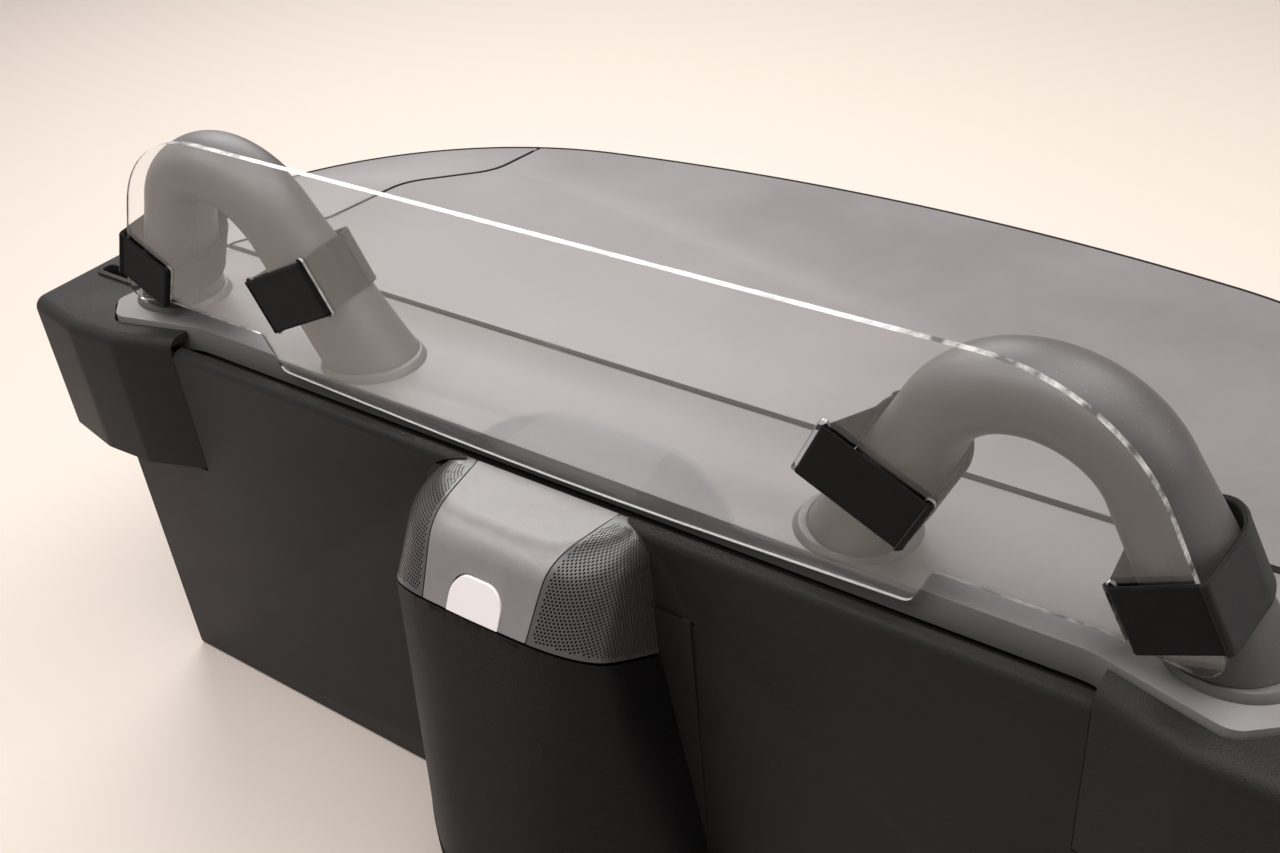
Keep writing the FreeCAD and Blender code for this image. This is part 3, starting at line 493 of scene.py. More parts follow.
def painted_steel(name, base):
    """Satin black paint with a slight orange peel and thinner paint on rubbed places."""
    material, tree, shader = node_tree(name)
    slow = pattern(tree, "noise", 22.0, 5.0, 0.6)
    body = mixed(tree, ranged(tree, slow, 0.35, 0.75), base, tinted(base, 1.5))
    shaded(tree, shader, slow, body, 0.36, 0.5)
    bumped(tree, shader, pattern(tree, "noise", 260.0), 0.00008)
    plain(shader, Coat_Weight=0.25)
    return material


def clear_acrylic(name):
    """Clear acrylic with a faint cool tint and hair-fine wipe marks."""
    material, tree, shader = node_tree(name)
    plain(shader, Base_Color=(0.965, 0.975, 0.97, 1.0), Transmission_Weight=1.0, IOR=1.49,
          Specular_IOR_Level=0.13)
    wipe = pattern(tree, "noise", 16.0, 5.0, 0.6, stretch=(1.0, 1.0, 4.0))
    tree.links.new(ranged(tree, wipe, 0.45, 0.8, 0.015, 0.07), shader.inputs["Roughness"])
    return material


def edge_with_painted_glow(name, dark, glow, scale):
    """Flame-polished edge of the acrylic with a painted glow: a faint emission and bright stretches of its
    colour stand in for the light that the sheet gathers at its edges, broken by clear darker ones."""
    material, tree, shader = node_tree(name)
    stretch = pattern(tree, "noise", scale, 3.0, 0.65, stretch=(1.0, 1.0, 2.0))
    # Painted highlight and glow: bright stretches of the edge, also used as its emission colour.
    body = mixed(tree, ranged(tree, stretch, 0.42, 0.62), dark, (0.42, 0.40, 0.38))
    for socket in ("Base Color", "Emission Color"):
        tree.links.new(body, shader.inputs[socket])
    plain(shader, Emission_Strength=glow, Roughness=0.12, Coat_Weight=0.15)
    return material


def rubber(name, base):
    """Matt seal rubber with a fine skin."""
    material, tree, shader = node_tree(name)
    slow = pattern(tree, "noise", 90.0, 3.0)
    shaded(tree, shader, slow, mixed(tree, slow, base, tinted(base, 1.8)), 0.6, 0.75)
    plain(shader, Specular_IOR_Level=0.1)
    bumped(tree, shader, pattern(tree, "noise", 1800.0), 0.00003)
    return material


def webbing(name, base, fibre_sheen, scale, deep, sheen):
    """Hook-and-loop webbing on its own surface map, with short fibres across the strap; the lighter fibres
    are a painted sheen.
    """
    material, tree, shader = node_tree(name)
    fibre = pattern(tree, "noise", scale, 5.0, 0.75, space="UV")
    slow = pattern(tree, "noise", 60.0, 3.0, 0.6, space="UV")
    # Painted sheen: fibres where the webbing catches light get a lighter colour.
    body = mixed(tree, ranged(tree, fibre, 0.42, 0.72), base, fibre_sheen)
    body = mixed(tree, ranged(tree, slow, 0.4, 0.7, 0, 0.5), body, tinted(base, 0.7))
    tree.links.new(body, shader.inputs["Base Color"])
    plain(shader, Roughness=0.9, Specular_IOR_Level=0.12, Sheen_Weight=sheen, Sheen_Roughness=0.45)
    bumped(tree, shader, fibre, deep)
    return material


def smooth_gloss(name, base, roughness):
    """Smooth moulded gloss with a faint unevenness."""
    material, tree, shader = node_tree(name)
    slow = pattern(tree, "noise", 60.0)
    body = mixed(tree, slow, tinted(base, 0.97), base)
    shaded(tree, shader, slow, body, roughness - 0.03, roughness + 0.03)
    bumped(tree, shader, slow, 0.00002)
    return material


# Pieces

class DEFLECTOR_OT_hoops(bpy.types.Operator):
    """Padded covers of the two roll hoops"""
    bl_idname = "deflector.hoops"
    bl_label = "Roll hoop covers"

    def execute(self, context):
        hoop = context.scene.hoop_sizes
        skin = moulded("hoop_soft_touch", hoop.skin, 0.46, grain=1500.0, grain_deep=0.00004, mottle=14.0,
                       dust=0.25)
        for side, sign in SIDES:
            points, faces = hoop_surface(hoop, context.scene.shelf_sizes, sign)
            cover = outward(add_piece("padded_cover_" + side, points, faces, skin))
            slotted(cover, "hoop_cover_" + side)
        return {"FINISHED"}


def hoop_surface(hoop, shelf, sign):
    """An oval carried along leg, arch and leg. A point is the centre line plus its outward normal times
    half_wide cos(t) plus the Y axis times half_deep sin(t), times 1 + growth along the leg; two shallow
    bell-shaped dips in the radius are the mould lines. Each leg line ends just above the shelf's plane."""
    around, over, up, near_seam, reach = 88, 73, 22, 41, 2.5
    apart = hoop.seam_apart / 2 / hoop.half_deep
    near = np.linspace(-reach, reach, near_seam) * apart
    turns = np.unique(np.round(np.concatenate([np.linspace(0, 2 * np.pi, around, endpoint=False),
                                               (hoop.seam_turn + near) % (2 * np.pi)]), 5))
    bell = 0.22 * apart
    dip = sum(np.exp(-((turns - hoop.seam_turn + k * apart) / bell) ** 2) for k in (-1, 1))
    half_wide = hoop.half_wide - hoop.seam_deep * dip
    half_deep = hoop.half_deep - hoop.seam_deep * dip
    splay, leg = hoop_splay(hoop), leg_length(hoop)
    arch_z, lift = hoop.rise - hoop.arch_radius, 0.0003

    def ring(centre, normal, scale):
        section = (normal[..., None, :] * (half_wide * np.cos(turns))[:, None]
                   + np.array([0.0, 1.0, 0.0]) * (half_deep * np.sin(turns))[:, None])
        return centre[..., None, :] + scale[..., None, None] * section

    def placed(points):
        points = turn_x(points, hoop.lean)
        foot_z = -hoop.foot_y * math.tan(shelf.slope)
        return from_line(points + np.array([sign * hoop.spacing, hoop.foot_y, foot_z]))

    swing = np.linspace(splay, np.pi - splay, over)
    normal = joined(np.cos(swing), 0.0, np.sin(swing))
    arch = ring(normal * hoop.arch_radius + np.array([0, 0, arch_z]), normal, np.ones_like(swing))
    rows = []
    for way in (1, -1):
        out = np.array([[way * math.cos(splay), 0, math.sin(splay)]])
        end = hoop.arch_radius * out[0] + np.array([0, 0, arch_z])
        down = np.array([way * math.sin(splay), 0, -math.cos(splay)])
        start = placed(ring(end[None], out, np.ones(1)))[0]
        far = placed(ring((end + down * leg)[None], out, np.full(1, 1 + hoop.growth)))[0]
        above, below = (shelf_height(end, shelf) - lift for end in (start, far))
        share = above / (above - below)
        part = np.linspace(1, 0, up)[:, None, None] * share[None, :, None]
        rows.append(start[None] * (1 - part) + far[None] * part)
    skin = np.concatenate([rows[0], placed(arch)[1:-1], rows[1][::-1]])
    return skin, tube_faces(*skin.shape[:2])


def shelf_height(points, shelf):
    """Height of points above the shelf's plane."""
    return ((points[..., 2] - shelf.edge_z) * math.cos(shelf.slope)
            + (points[..., 1] - shelf.edge_y) * math.sin(shelf.slope))


class DEFLECTOR_OT_straps(bpy.types.Operator):
    """Four hook-and-loop straps with their overlapping ends"""
    bl_idname = "deflector.straps"
    bl_label = "Straps"

    def execute(self, context):
        strap = context.scene.strap_sizes
        # The lighter fibre colour on both sides is a painted sheen.
        web = webbing("strap_hook_side", strap.web, tinted(strap.web, 1.8), scale=900.0, deep=0.00025,
                      sheen=0.05)
        loop = webbing("strap_loop_side", tinted(strap.web, 1.3), strap.fibre_sheen, scale=1500.0, deep=0.0006,
                       sheen=0.1)
        kinds = (("inner", strap.inner_rise, -1, strap.inner_near, strap.inner_far),
                 ("outer", strap.outer_rise, 1, strap.outer_near, strap.outer_wrap))
        for side, sign in SIDES:
            for kind, rise, leg, near, far in kinds:
                path = strap_path(context, rise, near, far)
                name = kind + "_" + side
                layers = (("strap_band_", path, strap.wide, strap.thick, 0.0, web, "strap_" + name),
                          ("strap_lap_", path[lap_range(path)], strap.wide + 0.0006, strap.thick * 0.8,
                           strap.thick * 0.92, loop, None))
                for layer, line, wide, thick, lift, skin, node in layers:
                    points, faces, uv = band(line, wide, thick, lift, node is not None)
                    points = strap_place(context, points, rise, leg, sign)
                    slotted(outward(add_piece(layer + name, points, faces, skin, uv=uv)), node)
        return {"FINISHED"}


def strap_path(context, rise, near, far):
    """The closed line of a strap, square to its leg: straight in front of the deflector, two straight
    runs back to the leg, and half an oval round it. It is sampled evenly and then averaged, which rounds its
    corners."""
    strap, hoop = context.scene.strap_sizes, context.scene.hoop_sizes
    splay = hoop_splay(hoop)
    foot_z = -hoop.foot_y * math.tan(context.scene.shelf_sizes.slope)
    arch_end = hoop.rise - hoop.arch_radius + hoop.arch_radius * math.sin(splay)
    grow = 1 + hoop.growth * (1 - (rise - foot_z - strap.wide / 2) / arch_end)
    middle = hoop.foot_y + (foot_z - rise) * math.tan(hoop.lean) + rise * math.tan(strap.tilt)
    half = strap.thick / 2 + 0.0001
    wide = hoop.half_wide * grow + strap.gap + half
    deep = hoop.half_deep * grow + strap.slack + half
    turn = np.linspace(0, np.pi, 90)
    oval = joined(wide * np.cos(turn), middle + deep * np.sin(turn))
    corners = np.array([[near - half, -strap.gap - half], [far + half, -strap.gap - half], [wide, middle]])
    line = np.concatenate([oval, corners])
    steps, step = run_along(line), 0.0009
    even = np.arange(0, steps[-1], step)
    path = joined(*(np.interp(even, steps, line[:, k]) for k in (0, 1)))
    width = 5
    kernel = np.hanning(width + 2)[1:-1]
    kernel /= kernel.sum()
    wrapped = np.concatenate([path[-width:], path, path[:width]])
    return joined(*(np.convolve(wrapped[:, k], kernel, "same")[width:-width] for k in (0, 1)))


def lap_range(path):
    """Indices of the overlapping end, from the far corner round the leg to just past its back. The corner is
    the point furthest in a direction that is mostly forwards and a little to the far side."""
    count, forwards, share = len(path), 8, 0.60
    corner = int(np.argmax(path[:, 0] - forwards * path[:, 1]))
    back = int(share * np.argmin(path[:, 0]))
    return np.arange(corner, count + back) % count


def band(path, wide, thick, lift, closed):
    """Webbing along a line: a flat section with rounded, slightly thicker bound edges, carried along the
    line and its outward normal. Returns points across, depth, along the leg; faces; and a surface map."""
    ahead, behind = np.roll(path, -1, axis=0), np.roll(path, 1, axis=0)
    if not closed:
        ahead[-1], behind[0] = path[-1], path[0]
    along = ahead - behind
    along /= np.linalg.norm(along, axis=1)[:, None]
    normal = joined(along[:, 1], -along[:, 0])
    half, edge = wide / 2, thick / 2
    bound = np.array([0.0, 0.0016, 0.0030, 0.0036])
    upper = joined(-half + bound, edge * np.array([0.55, 1.25, 1.2, 1.0]))
    middle = joined(np.linspace(-half + 0.006, half - 0.006, 9), edge)
    side = np.concatenate([upper, middle, (upper * [-1, 1])[::-1]])
    section = np.concatenate([side, (side * [1, -1])[::-1]])
    rows, count = len(path), len(section)
    depth = (lift + section[:, 1])[None, :, None] * normal[:, None, :]
    across = np.broadcast_to(section[:, 0], (rows, count))
    points = np.concatenate([path[:, None, :] + depth, across[..., None]], axis=-1)
    uv = joined(run_along(path)[:, None], across)
    faces = list(grid_quads(rows, count, True))
    if closed:
        last, first = np.arange(count) + (rows - 1) * count, np.arange(count)
        faces += list(np.stack([last, np.roll(last, -1), np.roll(first, -1), first], axis=-1))
    else:
        faces += [range(count), range((rows - 1) * count, rows * count)]
    return points, faces, uv


def strap_place(context, points, rise, leg, sign):
    """Turns a strap to its leg's splay, moves it to its height on the deflector, and mirrors the left one."""
    hoop, strap = context.scene.hoop_sizes, context.scene.strap_sizes
    splay = hoop_splay(hoop)
    foot_z = -hoop.foot_y * math.tan(context.scene.shelf_sizes.slope)
    out = hoop.foot_half + (foot_z - rise) * math.tan(splay) / math.cos(hoop.lean)
    c, s = math.cos(-leg * splay), math.sin(-leg * splay)
    x, y, z = np.moveaxis(points, -1, 0)
    turned = joined(c * x + s * z + hoop.spacing + leg * out, y, c * z - s * x + rise)
    placed = from_line(turn_x(turned, strap.tilt))
    return placed * np.array([sign, 1.0, 1.0])


class DEFLECTOR_OT_panel(bpy.types.Operator):
    """Clear deflector whose edges have a painted glow"""
    bl_idname = "deflector.panel"
    bl_label = "Wind deflector"

    def execute(self, context):
        piece = softened("wind_deflector", "deflector_panel", clear_acrylic("clear_acrylic"))
        mesh = piece.data
        # Edge materials with a painted glow; the foot edge glows most, as a painted bright line along the
        # bottom.
        mesh.materials.append(edge_with_painted_glow("acrylic_edge_painted_glow", (0.08, 0.077, 0.072), glow=0.04, scale=46.0))
        mesh.materials.append(edge_with_painted_glow("acrylic_foot_edge_painted_glow", (0.45, 0.43, 0.42), glow=0.8, scale=12.0))
        normals, places = face_arrays(mesh)
        square = (np.abs(normals[:, 1]) < 0.5).astype(int)
        low = (normals[:, 2] < -0.5) & (places[:, 2] < context.scene.shelf_sizes.edge_z)
        mesh.polygons.foreach_set("material_index", (square + (low & (square > 0))).astype(np.int32))
        mesh.polygons.foreach_set("use_smooth", np.full(len(mesh.polygons), False))
        return {"FINISHED"}


# For the housing's side, corner and front: direction it looks in, reach from the line's middle, slope, and
# how far below the top its bend ends; then the door's reach from the housing's back at its foot
HOUSING = ((0.0, 0.1045, 89.0, 0.0205), (-50.0, 0.1061, 65.4, 0.0278), (-90.0, 0.0802, 61.7, 0.0170))
DOOR_FOOT = (0.146, 0.145, 0.1395)
CREASE_POWER = 13.5          # the higher, the sharper the creases between the faces


def face_distances(box, depth):
    """How far each face lies from the middle of the housing's back, at a depth below the top."""
    direction, reach, slope, drop = (np.array(column) for column in zip(*HOUSING))
    direction, slope = np.radians(direction), np.radians(slope)
    radius = drop / (1 - np.cos(slope))
    depth = np.asarray(depth)[..., None]
    shallow = np.minimum(depth, drop)
    along = np.sqrt(radius ** 2 - (radius - shallow) ** 2) + (depth - shallow) / np.tan(slope)
    return reach - radius * np.tan(slope / 2) + along - box.back * np.sin(direction)


def polar(box, far, turn):
    """Distance and place of an outline in a direction, seen from above. The distance is a power mean of
    those to the three faces, which rounds the creases between them."""
    direction = np.radians([face[0] for face in HOUSING])
    facing = np.clip(np.cos(np.asarray(turn)[..., None] - direction), 0, None)
    out = np.sum((facing / far) ** CREASE_POWER, axis=-1) ** (-1 / CREASE_POWER)
    return out, out * np.cos(turn), box.back + out * np.sin(turn)


def corner_bend():
    """Slope of the housing's corner, and depth and radius of the bend that leads to it."""
    _, _, slope, drop = HOUSING[1]
    slope = math.radians(slope)
    return slope, drop, drop / (1 - math.cos(slope))


def run_depth(run):
    """Depth below the top at a run down the corner's profile, which is flat, then an arc, then a slope."""
    slope, drop, radius = corner_bend()
    over, bend = np.clip(run, 0, None), radius * slope
    return np.where(over < bend, radius * (1 - np.cos(np.minimum(over, bend) / radius)),
                    drop + (over - bend) * np.sin(slope))


def joint_run(box):
    """Run of the level curve at the joint's lowest place."""
    slope, drop, radius = corner_bend()
    return radius * slope + (box.top - box.joint - drop) / math.sin(slope)


def level_curve(box, run, turn, inset=0.0):
    """Points of the level curve at a run, in directions seen from above."""
    run = np.asarray(run)
    depth = run_depth(run)
    _, x, y = polar(box, face_distances(box, depth) + np.minimum(run, 0)[..., None] - inset, turn)
    return joined(x, y, box.top - inset - depth)


def housing_depth(box, x, y):
    """Depth below the flat top at places seen from above, found by halving the range of depths."""
    turn, far, deepest = np.arctan2(y - box.back, np.abs(x)), np.hypot(x, y - box.back), 0.12
    low, high = np.zeros(np.shape(x)), np.full(np.shape(x), deepest)
    for _ in range(34):
        middle = (low + high) / 2
        outside = polar(box, face_distances(box, middle), turn)[0] < far
        low, high = np.where(outside, middle, low), np.where(outside, high, middle)
    return low


def joint_level(box, y):
    """Level of the joint, which falls towards the back."""
    return np.maximum(box.joint_front - box.joint_fall * (y - box.seam_front_y), box.joint)


def seam_half(box, y):
    """Half width between the two seams."""
    rate = (box.seam_back - box.seam_front) / (box.back - box.seam_front_y)
    return box.seam_front + rate * (y - box.seam_front_y)


class EndSheet:
    """A perforated end as a table: rows are level curves, and columns lie evenly along each curve from the
    seam to the back."""
    def __init__(self, box, inset=0.0, step=0.0008):
        self.step, self.top = step, -0.016
        self.low = joint_run(box)
        self.runs = np.linspace(self.top, self.low, int((self.low - self.top) / step))
        curve = level_curve(box, self.runs[:, None], np.linspace(-np.pi / 2, 0, 2400)[None], inset)
        gaps = np.linalg.norm(np.diff(curve, axis=1), axis=2)
        along = np.concatenate([np.zeros((len(curve), 1)), np.cumsum(gaps, axis=1)], axis=1)
        past = curve[..., 0] - seam_half(box, curve[..., 1]) - box.seam / 2
        inside = past > 0
        found = inside.any(axis=1)
        first = np.where(found, inside.argmax(axis=1), past.argmax(axis=1))
        last = np.where(found, inside.shape[1] - 1 - inside[:, ::-1].argmax(axis=1), first)
        rows = np.arange(len(curve))
        start, end = along[rows, first], along[rows, last]
        self.longs = end - start
        even = start[:, None] + np.arange(int(self.longs.max() / step) + 2) * step
        even = np.minimum(even, end[:, None])
        self.table = np.stack([joined(*(np.interp(even[k], along[k], curve[k, :, axis])
                                        for axis in range(3))) for k in rows])

    def reach(self, run):
        """Length of the level curve at a run."""
        return np.interp(run, self.runs, self.longs)

    def at(self, along, run):
        """Points at a distance along the level curves, by mixing the table's four nearest entries."""
        row = (run - self.top) / (self.low - self.top) * (len(self.runs) - 1)
        row = np.clip(row, 0, len(self.runs) - 1.000001)
        column = np.clip(along / self.step, 0, self.table.shape[1] - 1.000001)
        i, j = row.astype(int), column.astype(int)
        a, b = (row - i)[..., None], (column - j)[..., None]
        upper, lower = (self.table[row, j] * (1 - b) + self.table[row, j + 1] * b for row in (i, i + 1))
        return upper * (1 - a) + lower * a


def perforated(box, sheet):
    """Points and faces of a sheet with staggered round holes: a cell has eight points on its border, and
    where the plain rim is far enough away, eight on a ring round its middle."""
    rows = round((sheet.low - sheet.top) / (box.pitch * math.cos(math.radians(30))))
    rise = (sheet.low - sheet.top) / rows
    row, column = np.mgrid[:rows, :int(sheet.longs.max() / box.pitch) + 2]
    run = sheet.top + (row + 0.5) * rise
    along = (column + row % 2 / 2) * box.pitch
    keep = along - box.pitch / 2 < np.maximum(sheet.reach(run - rise / 2), sheet.reach(run + rise / 2))
    run, along = run[keep], along[keep]
    clear = box.rim + box.hole_radius
    room = np.minimum(sheet.reach(run - clear), sheet.reach(run + clear))
    middle = sheet.at(along, run)
    above = middle[:, 2] - joint_level(box, middle[:, 1])
    holed = (along > clear) & (along < room - clear) & (above > clear + box.rim / 2)
    border_x = np.array([1, 1, 0, -1, -1, -1, 0, 1]) * box.pitch / 2
    border_y = np.array([0, 1, 1, 1, 0, -1, -1, -1]) * rise / 2
    border = sheet.at(np.clip(along[:, None] + border_x, 0, None), run[:, None] + border_y)
    turn = np.arange(8) * np.pi / 4
    ring = sheet.at(along[holed, None] + box.hole_radius * np.cos(turn),
                    run[holed, None] + box.hole_radius * np.sin(turn))
    index = np.arange(len(border) * 8).reshape(-1, 8)
    inner = len(border) * 8 + np.arange(len(ring) * 8).reshape(-1, 8)
    outer = index[holed]
    quads = np.stack([outer, np.roll(outer, -1, axis=1), np.roll(inner, -1, axis=1), inner], axis=-1)
    points = np.concatenate([border.reshape(-1, 3), ring.reshape(-1, 3)])
    return points, list(quads.reshape(-1, 4)) + list(index[~holed])


# Plates that fill the facing's opening beside the housing and beside the door: name, front, back, outline
SURROUND = (
    ("facing_infill_", -0.0207, -0.0172, ((0.096, -0.0865), (0.146, -0.0865), (0.146, -0.0255),
                                          (0.096, -0.0255))),
    ("door_surround_", -0.0236, -0.0200, ((0.100, -0.0845), (0.1385, -0.0845), (0.1385, -0.386),
                                          (0.1335, -0.386), (0.1305, -0.318), (0.1035, -0.142))),
)


def cut_at_joint(box, piece):
    """Takes away what lies below the sloping joint."""
    place = from_line(np.array([0.0, box.seam_front_y, box.joint_front]))
    with opened(piece) as work:
        bmesh.ops.bisect_plane(work, geom=work.verts[:] + work.edges[:] + work.faces[:], dist=1e-6,
                               plane_co=place, plane_no=(0.0, box.joint_fall, 1.0), clear_inner=True)
    return piece


class DEFLECTOR_OT_grilles(bpy.types.Operator):
    """Perforated ends of the stowage box's housing"""
    bl_idname = "deflector.grilles"
    bl_label = "Perforated ends"

    def execute(self, context):
        box = context.scene.box_sizes
        gloss = smooth_gloss("grille_gloss", box.gloss, 0.30)
        dark = rubber("grille_backing", (0.010, 0.009, 0.009))
        facing = bpy.data.materials["facing_grain"]
        points, faces = perforated(box, EndSheet(box))
        lining = EndSheet(box, inset=box.lining, step=0.004)
        shape = lining.table.shape
        for side, sign in SIDES:
            flip = np.array([sign, 1.0, 1.0])
            centre = inside_housing(sign * 0.05)
            end = add_piece("perforated_end_" + side, from_line(points * flip), faces, gloss)
            # The hole walls and rims of the sheet get the dark backing rubber as painted shade in the holes.
            end.data.materials.append(dark)
            baked(thickened(cut_at_joint(box, outward(end)), box.sheet, centre, rim_slot=1))
            slotted(end, "grille_" + side)
            backing = add_piece("grille_backing_" + side, from_line(lining.table * flip),
                                grid_quads(shape[0], shape[1], False), dark)
            baked(thickened(cut_at_joint(box, outward(backing)), thick=0.0006, centre=centre))
            slotted(backing)
            for name, front, back, line in SURROUND:
                corners = np.array([[x, y, z] for y in (front, back) for x, z in line])
                infill = add_piece(name + side, from_line(corners * flip), tube_faces(2, len(line)), facing,
                                   smooth=False)
                slotted(outward(infill))
        return {"FINISHED"}


def cover_points(box, lift=0.0, half=None):
    """The middle of the housing: columns run from the back edge to the joint at a fixed share of the width
    between the seams; each column's end is found by halving."""
    columns, rows, furthest, flatter = 97, 150, -0.16, 0.35
    share = np.linspace(-1, 1, columns)
    low, high = np.full(columns, furthest), np.full(columns, box.back)
    wide = seam_half if half is None else (lambda box, y: half + 0 * y)
    for _ in range(30):
        middle = (low + high) / 2
        deep = housing_depth(box, share * wide(box, middle), middle) > box.top - joint_level(box, middle)
        low, high = np.where(deep, middle, low), np.where(deep, high, middle)
    y = box.back + np.linspace(0, 1, rows)[:, None] * (high - box.back)
    x = share * (wide(box, y) - box.seam / 2)
    z = box.top - housing_depth(box, x, y)
    crown = lift * (1 - flatter * share ** 2)
    return joined(x, y - crown, z + crown / 2)


def button_prism(box, gap=0.0):
    """Points and faces of a level prism with the button's round-headed outline."""
    turn = np.linspace(0, np.pi / 2, 14)
    r, w, top = box.button_round, box.button_half - gap, box.button_top - gap
    front, back = -0.2, -0.075
    right = joined(w - r + r * np.cos(turn), top - r + r * np.sin(turn))
    line = np.concatenate([[[w, box.joint]], right, (right * [-1, 1])[::-1], [[-w, box.joint]]])
    ends = [joined(line[:, 0], y, line[:, 1]) for y in (front, back)]
    return np.stack(ends), tube_faces(2, len(line))


def inside_housing(x=0.0):
    """A place in the housing that its sheets are turned away from."""
    return from_line(np.array([x, -0.03, -0.08]))


def trimmed(piece, prism, sides, way):
    """Cuts a piece with a prism, or keeps only what lies in it."""
    cutter = outward(add_piece("cutter", from_line(prism), sides, piece.data.materials[0]))
    cut = piece.modifiers.new("Cut", "BOOLEAN")
    cut.operation, cut.solver, cut.object = way, "EXACT", cutter
    baked(piece)
    bpy.data.objects.remove(cutter)
    return piece


def rounded(piece, width, segments=3):
    """Rounds a piece's sharp edges, and turns that into its mesh."""
    bevel(piece, width, segments, CUT)
    return baked(piece, BEVELLED)


def housing_piece(name, points, material, thick, prism, way):
    """A sheet of the housing, made solid and cut with a prism, or kept only where the prism lies."""
    piece = add_piece(name, from_line(points), grid_quads(*points.shape[:2], False), material)
    return trimmed(baked(thickened(piece, thick, inside_housing())), *prism, way)


def door_outline(box, turn, inset, foot):
    """The door's outline in directions seen from above: at its rim it follows the joint, at its foot it
    stands further out. The sides end at the door's back."""
    side = np.abs(turn + np.pi / 2) - np.pi / 2
    if foot:
        _, x, y = polar(box, np.array(DOOR_FOOT) - inset, side)
        z = box.door_low
    else:
        z = np.full(len(turn), box.joint)
        for _ in range(16):
            far = face_distances(box, box.top - z)
            far[..., 0] = box.door_side
            _, x, y = polar(box, far - inset, side)
            z = (z + joint_level(box, y)) / 2
        z = z - box.door_gap
    return joined(x * np.where(turn < -np.pi / 2, -1, 1), np.minimum(y, box.door_back), z)


def door_points(box):
    """Walls of the door as straight lines from the rim's outline to the foot's, outside and inside, and its
    floor as a plate. Returns points and faces."""
    columns, rows = 145, 30
    turn = np.linspace(0, -np.pi, columns)
    part = np.linspace(0, 1, rows)[:, None, None]
    loop = []
    for inset, order in ((0.0, 1), (box.door_wall, -1)):
        rim, foot = (door_outline(box, turn, inset, low) for low in (False, True))
        loop.append((rim * (1 - part) + foot * part)[:, ::order])
    walls = np.concatenate(loop, axis=1)
    count = 2 * columns
    pair = np.arange(columns - 1)
    strip = np.stack([pair, pair + 1, count - 2 - pair, count - 1 - pair], axis=-1)
    faces = list(grid_quads(rows, count, True)) + list(strip) + list(strip + (rows - 1) * count)
    foot = door_outline(box, turn, 0.0002, True)
    floor = np.stack([foot, foot + np.array([0, 0, box.door_floor])])
    faces += [np.asarray(face) + rows * count for face in tube_faces(2, columns)]
    return np.concatenate([walls.reshape(-1, 3), floor.reshape(-1, 3)]), faces


class DEFLECTOR_OT_box(bpy.types.Operator):
    """Cover, button, door and bin of the stowage box"""
    bl_idname = "deflector.box"
    bl_label = "Stowage box"

    def execute(self, context):
        box = context.scene.box_sizes
        satin = moulded("box_satin", box.cover, 0.36, grain=1300.0, grain_deep=0.00007, mottle=30.0)
        cream = smooth_gloss("button_cream", box.button, 0.3)
        leather = leathery("door_leather_grain", (0.0055, 0.0050, 0.0055), 0.44)
        # Black plastic of the bin, darkened further than real black plastic as painted shade under the
        # housing.
        black = moulded("bin_black_and_painted_shade", (0.006, 0.006, 0.006), 0.7, specular=0.08)
        cover = housing_piece("housing_cover", cover_points(box), satin, box.shell,
                              button_prism(box), "DIFFERENCE")
        slotted(rounded(cover, width=0.0005, segments=2), "box_cover")
        margin = 0.004
        points = cover_points(box, lift=box.button_crown, half=box.button_half + margin)
        button = housing_piece("push_button", points, cream, box.button_thick,
                               button_prism(box, box.button_gap), "INTERSECT")
        slotted(rounded(button, width=0.0012), "latch_button")
        points, faces = door_points(box)
        door = add_piece("fold_down_door", from_line(points), faces, leather, DOOR)
        slotted(rounded(outward(door), width=0.0012), "stowage_door")
        narrowed_bin(black)
        coated(NODES["hinge_pin"].data, painted_steel("pin_steel", (0.12, 0.12, 0.12)))
        return {"FINISHED"}


def narrowed_bin(material):
    """A copy of the bin whose hood is cut at both sides, to lie inside the housing."""
    shell = softened("bin_shell", "stowage_bin", material)
    half, outside, front, back, below, above = 0.094, 0.140, -0.130, -0.010, -0.0842, -0.070
    for _, sign in SIDES:
        corners = np.array([[sign * x, y, z] for z in (below, above)
                            for x, y in ((half, front), (outside, front), (outside, back), (half, back))])
        trimmed(shell, corners, tube_faces(2, 4), "DIFFERENCE")


class DEFLECTOR_OT_shelf(bpy.types.Operator):
    """Shelf, collars and deck"""
    bl_idname = "deflector.shelf"
    bl_label = "Shelf and deck"

    def execute(self, context):
        sizes = context.scene.shelf_sizes
        skin = moulded("shelf_matt_grain", sizes.skin, 0.5, grain=1100.0, grain_deep=0.0001, mottle=5.0,
                       dust=0.12)
        softened("shelf_panel", "shelf", skin, width=0.0015)
        softened("deck_panel", "deck_cover", skin, width=0.0012, segments=2)
        collar = moulded("collar_matt", tinted(sizes.skin, 0.5), 0.5, grain=1500.0, grain_deep=0.00003)
        for side, _ in SIDES:
            softened("deck_corner_flap_" + side, "deck_flap_" + side, skin, width=0.0012, segments=2)
            for place in ("inner", "outer"):
                leg = place + "_" + side
                softened("foot_ring_" + leg, "collar_" + leg, collar, width=0.0006, segments=2)
        seal = rubber("seal_rubber", sizes.seal)
        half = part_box("shelf")[1][0]
        seam = np.array([[x, sizes.seam_y, -sizes.seam_deep] for x in (-half, half)])
        flap = flap_seam()
        for name, path, radius in (("shelf_seam_seal", seam, sizes.seam_seal),
                                   ("deck_edge_seal", deck_edge(), sizes.edge_seal),
                                   # The flap gap rods use the seal rubber as painted shade of the gaps beside
                                   # the flaps.
                                   ("flap_seal_right", flap, sizes.flap_gap_shade_rod),
                                   ("flap_seal_left", flap * [-1, 1, 1], sizes.flap_gap_shade_rod)):
            points, faces = rod(path, radius)
            piece = outward(add_piece(name, on_shelf(points), faces, seal))
            piece.data.set_sharp_from_angle(angle=CUT)
            slotted(piece)
        return {"FINISHED"}


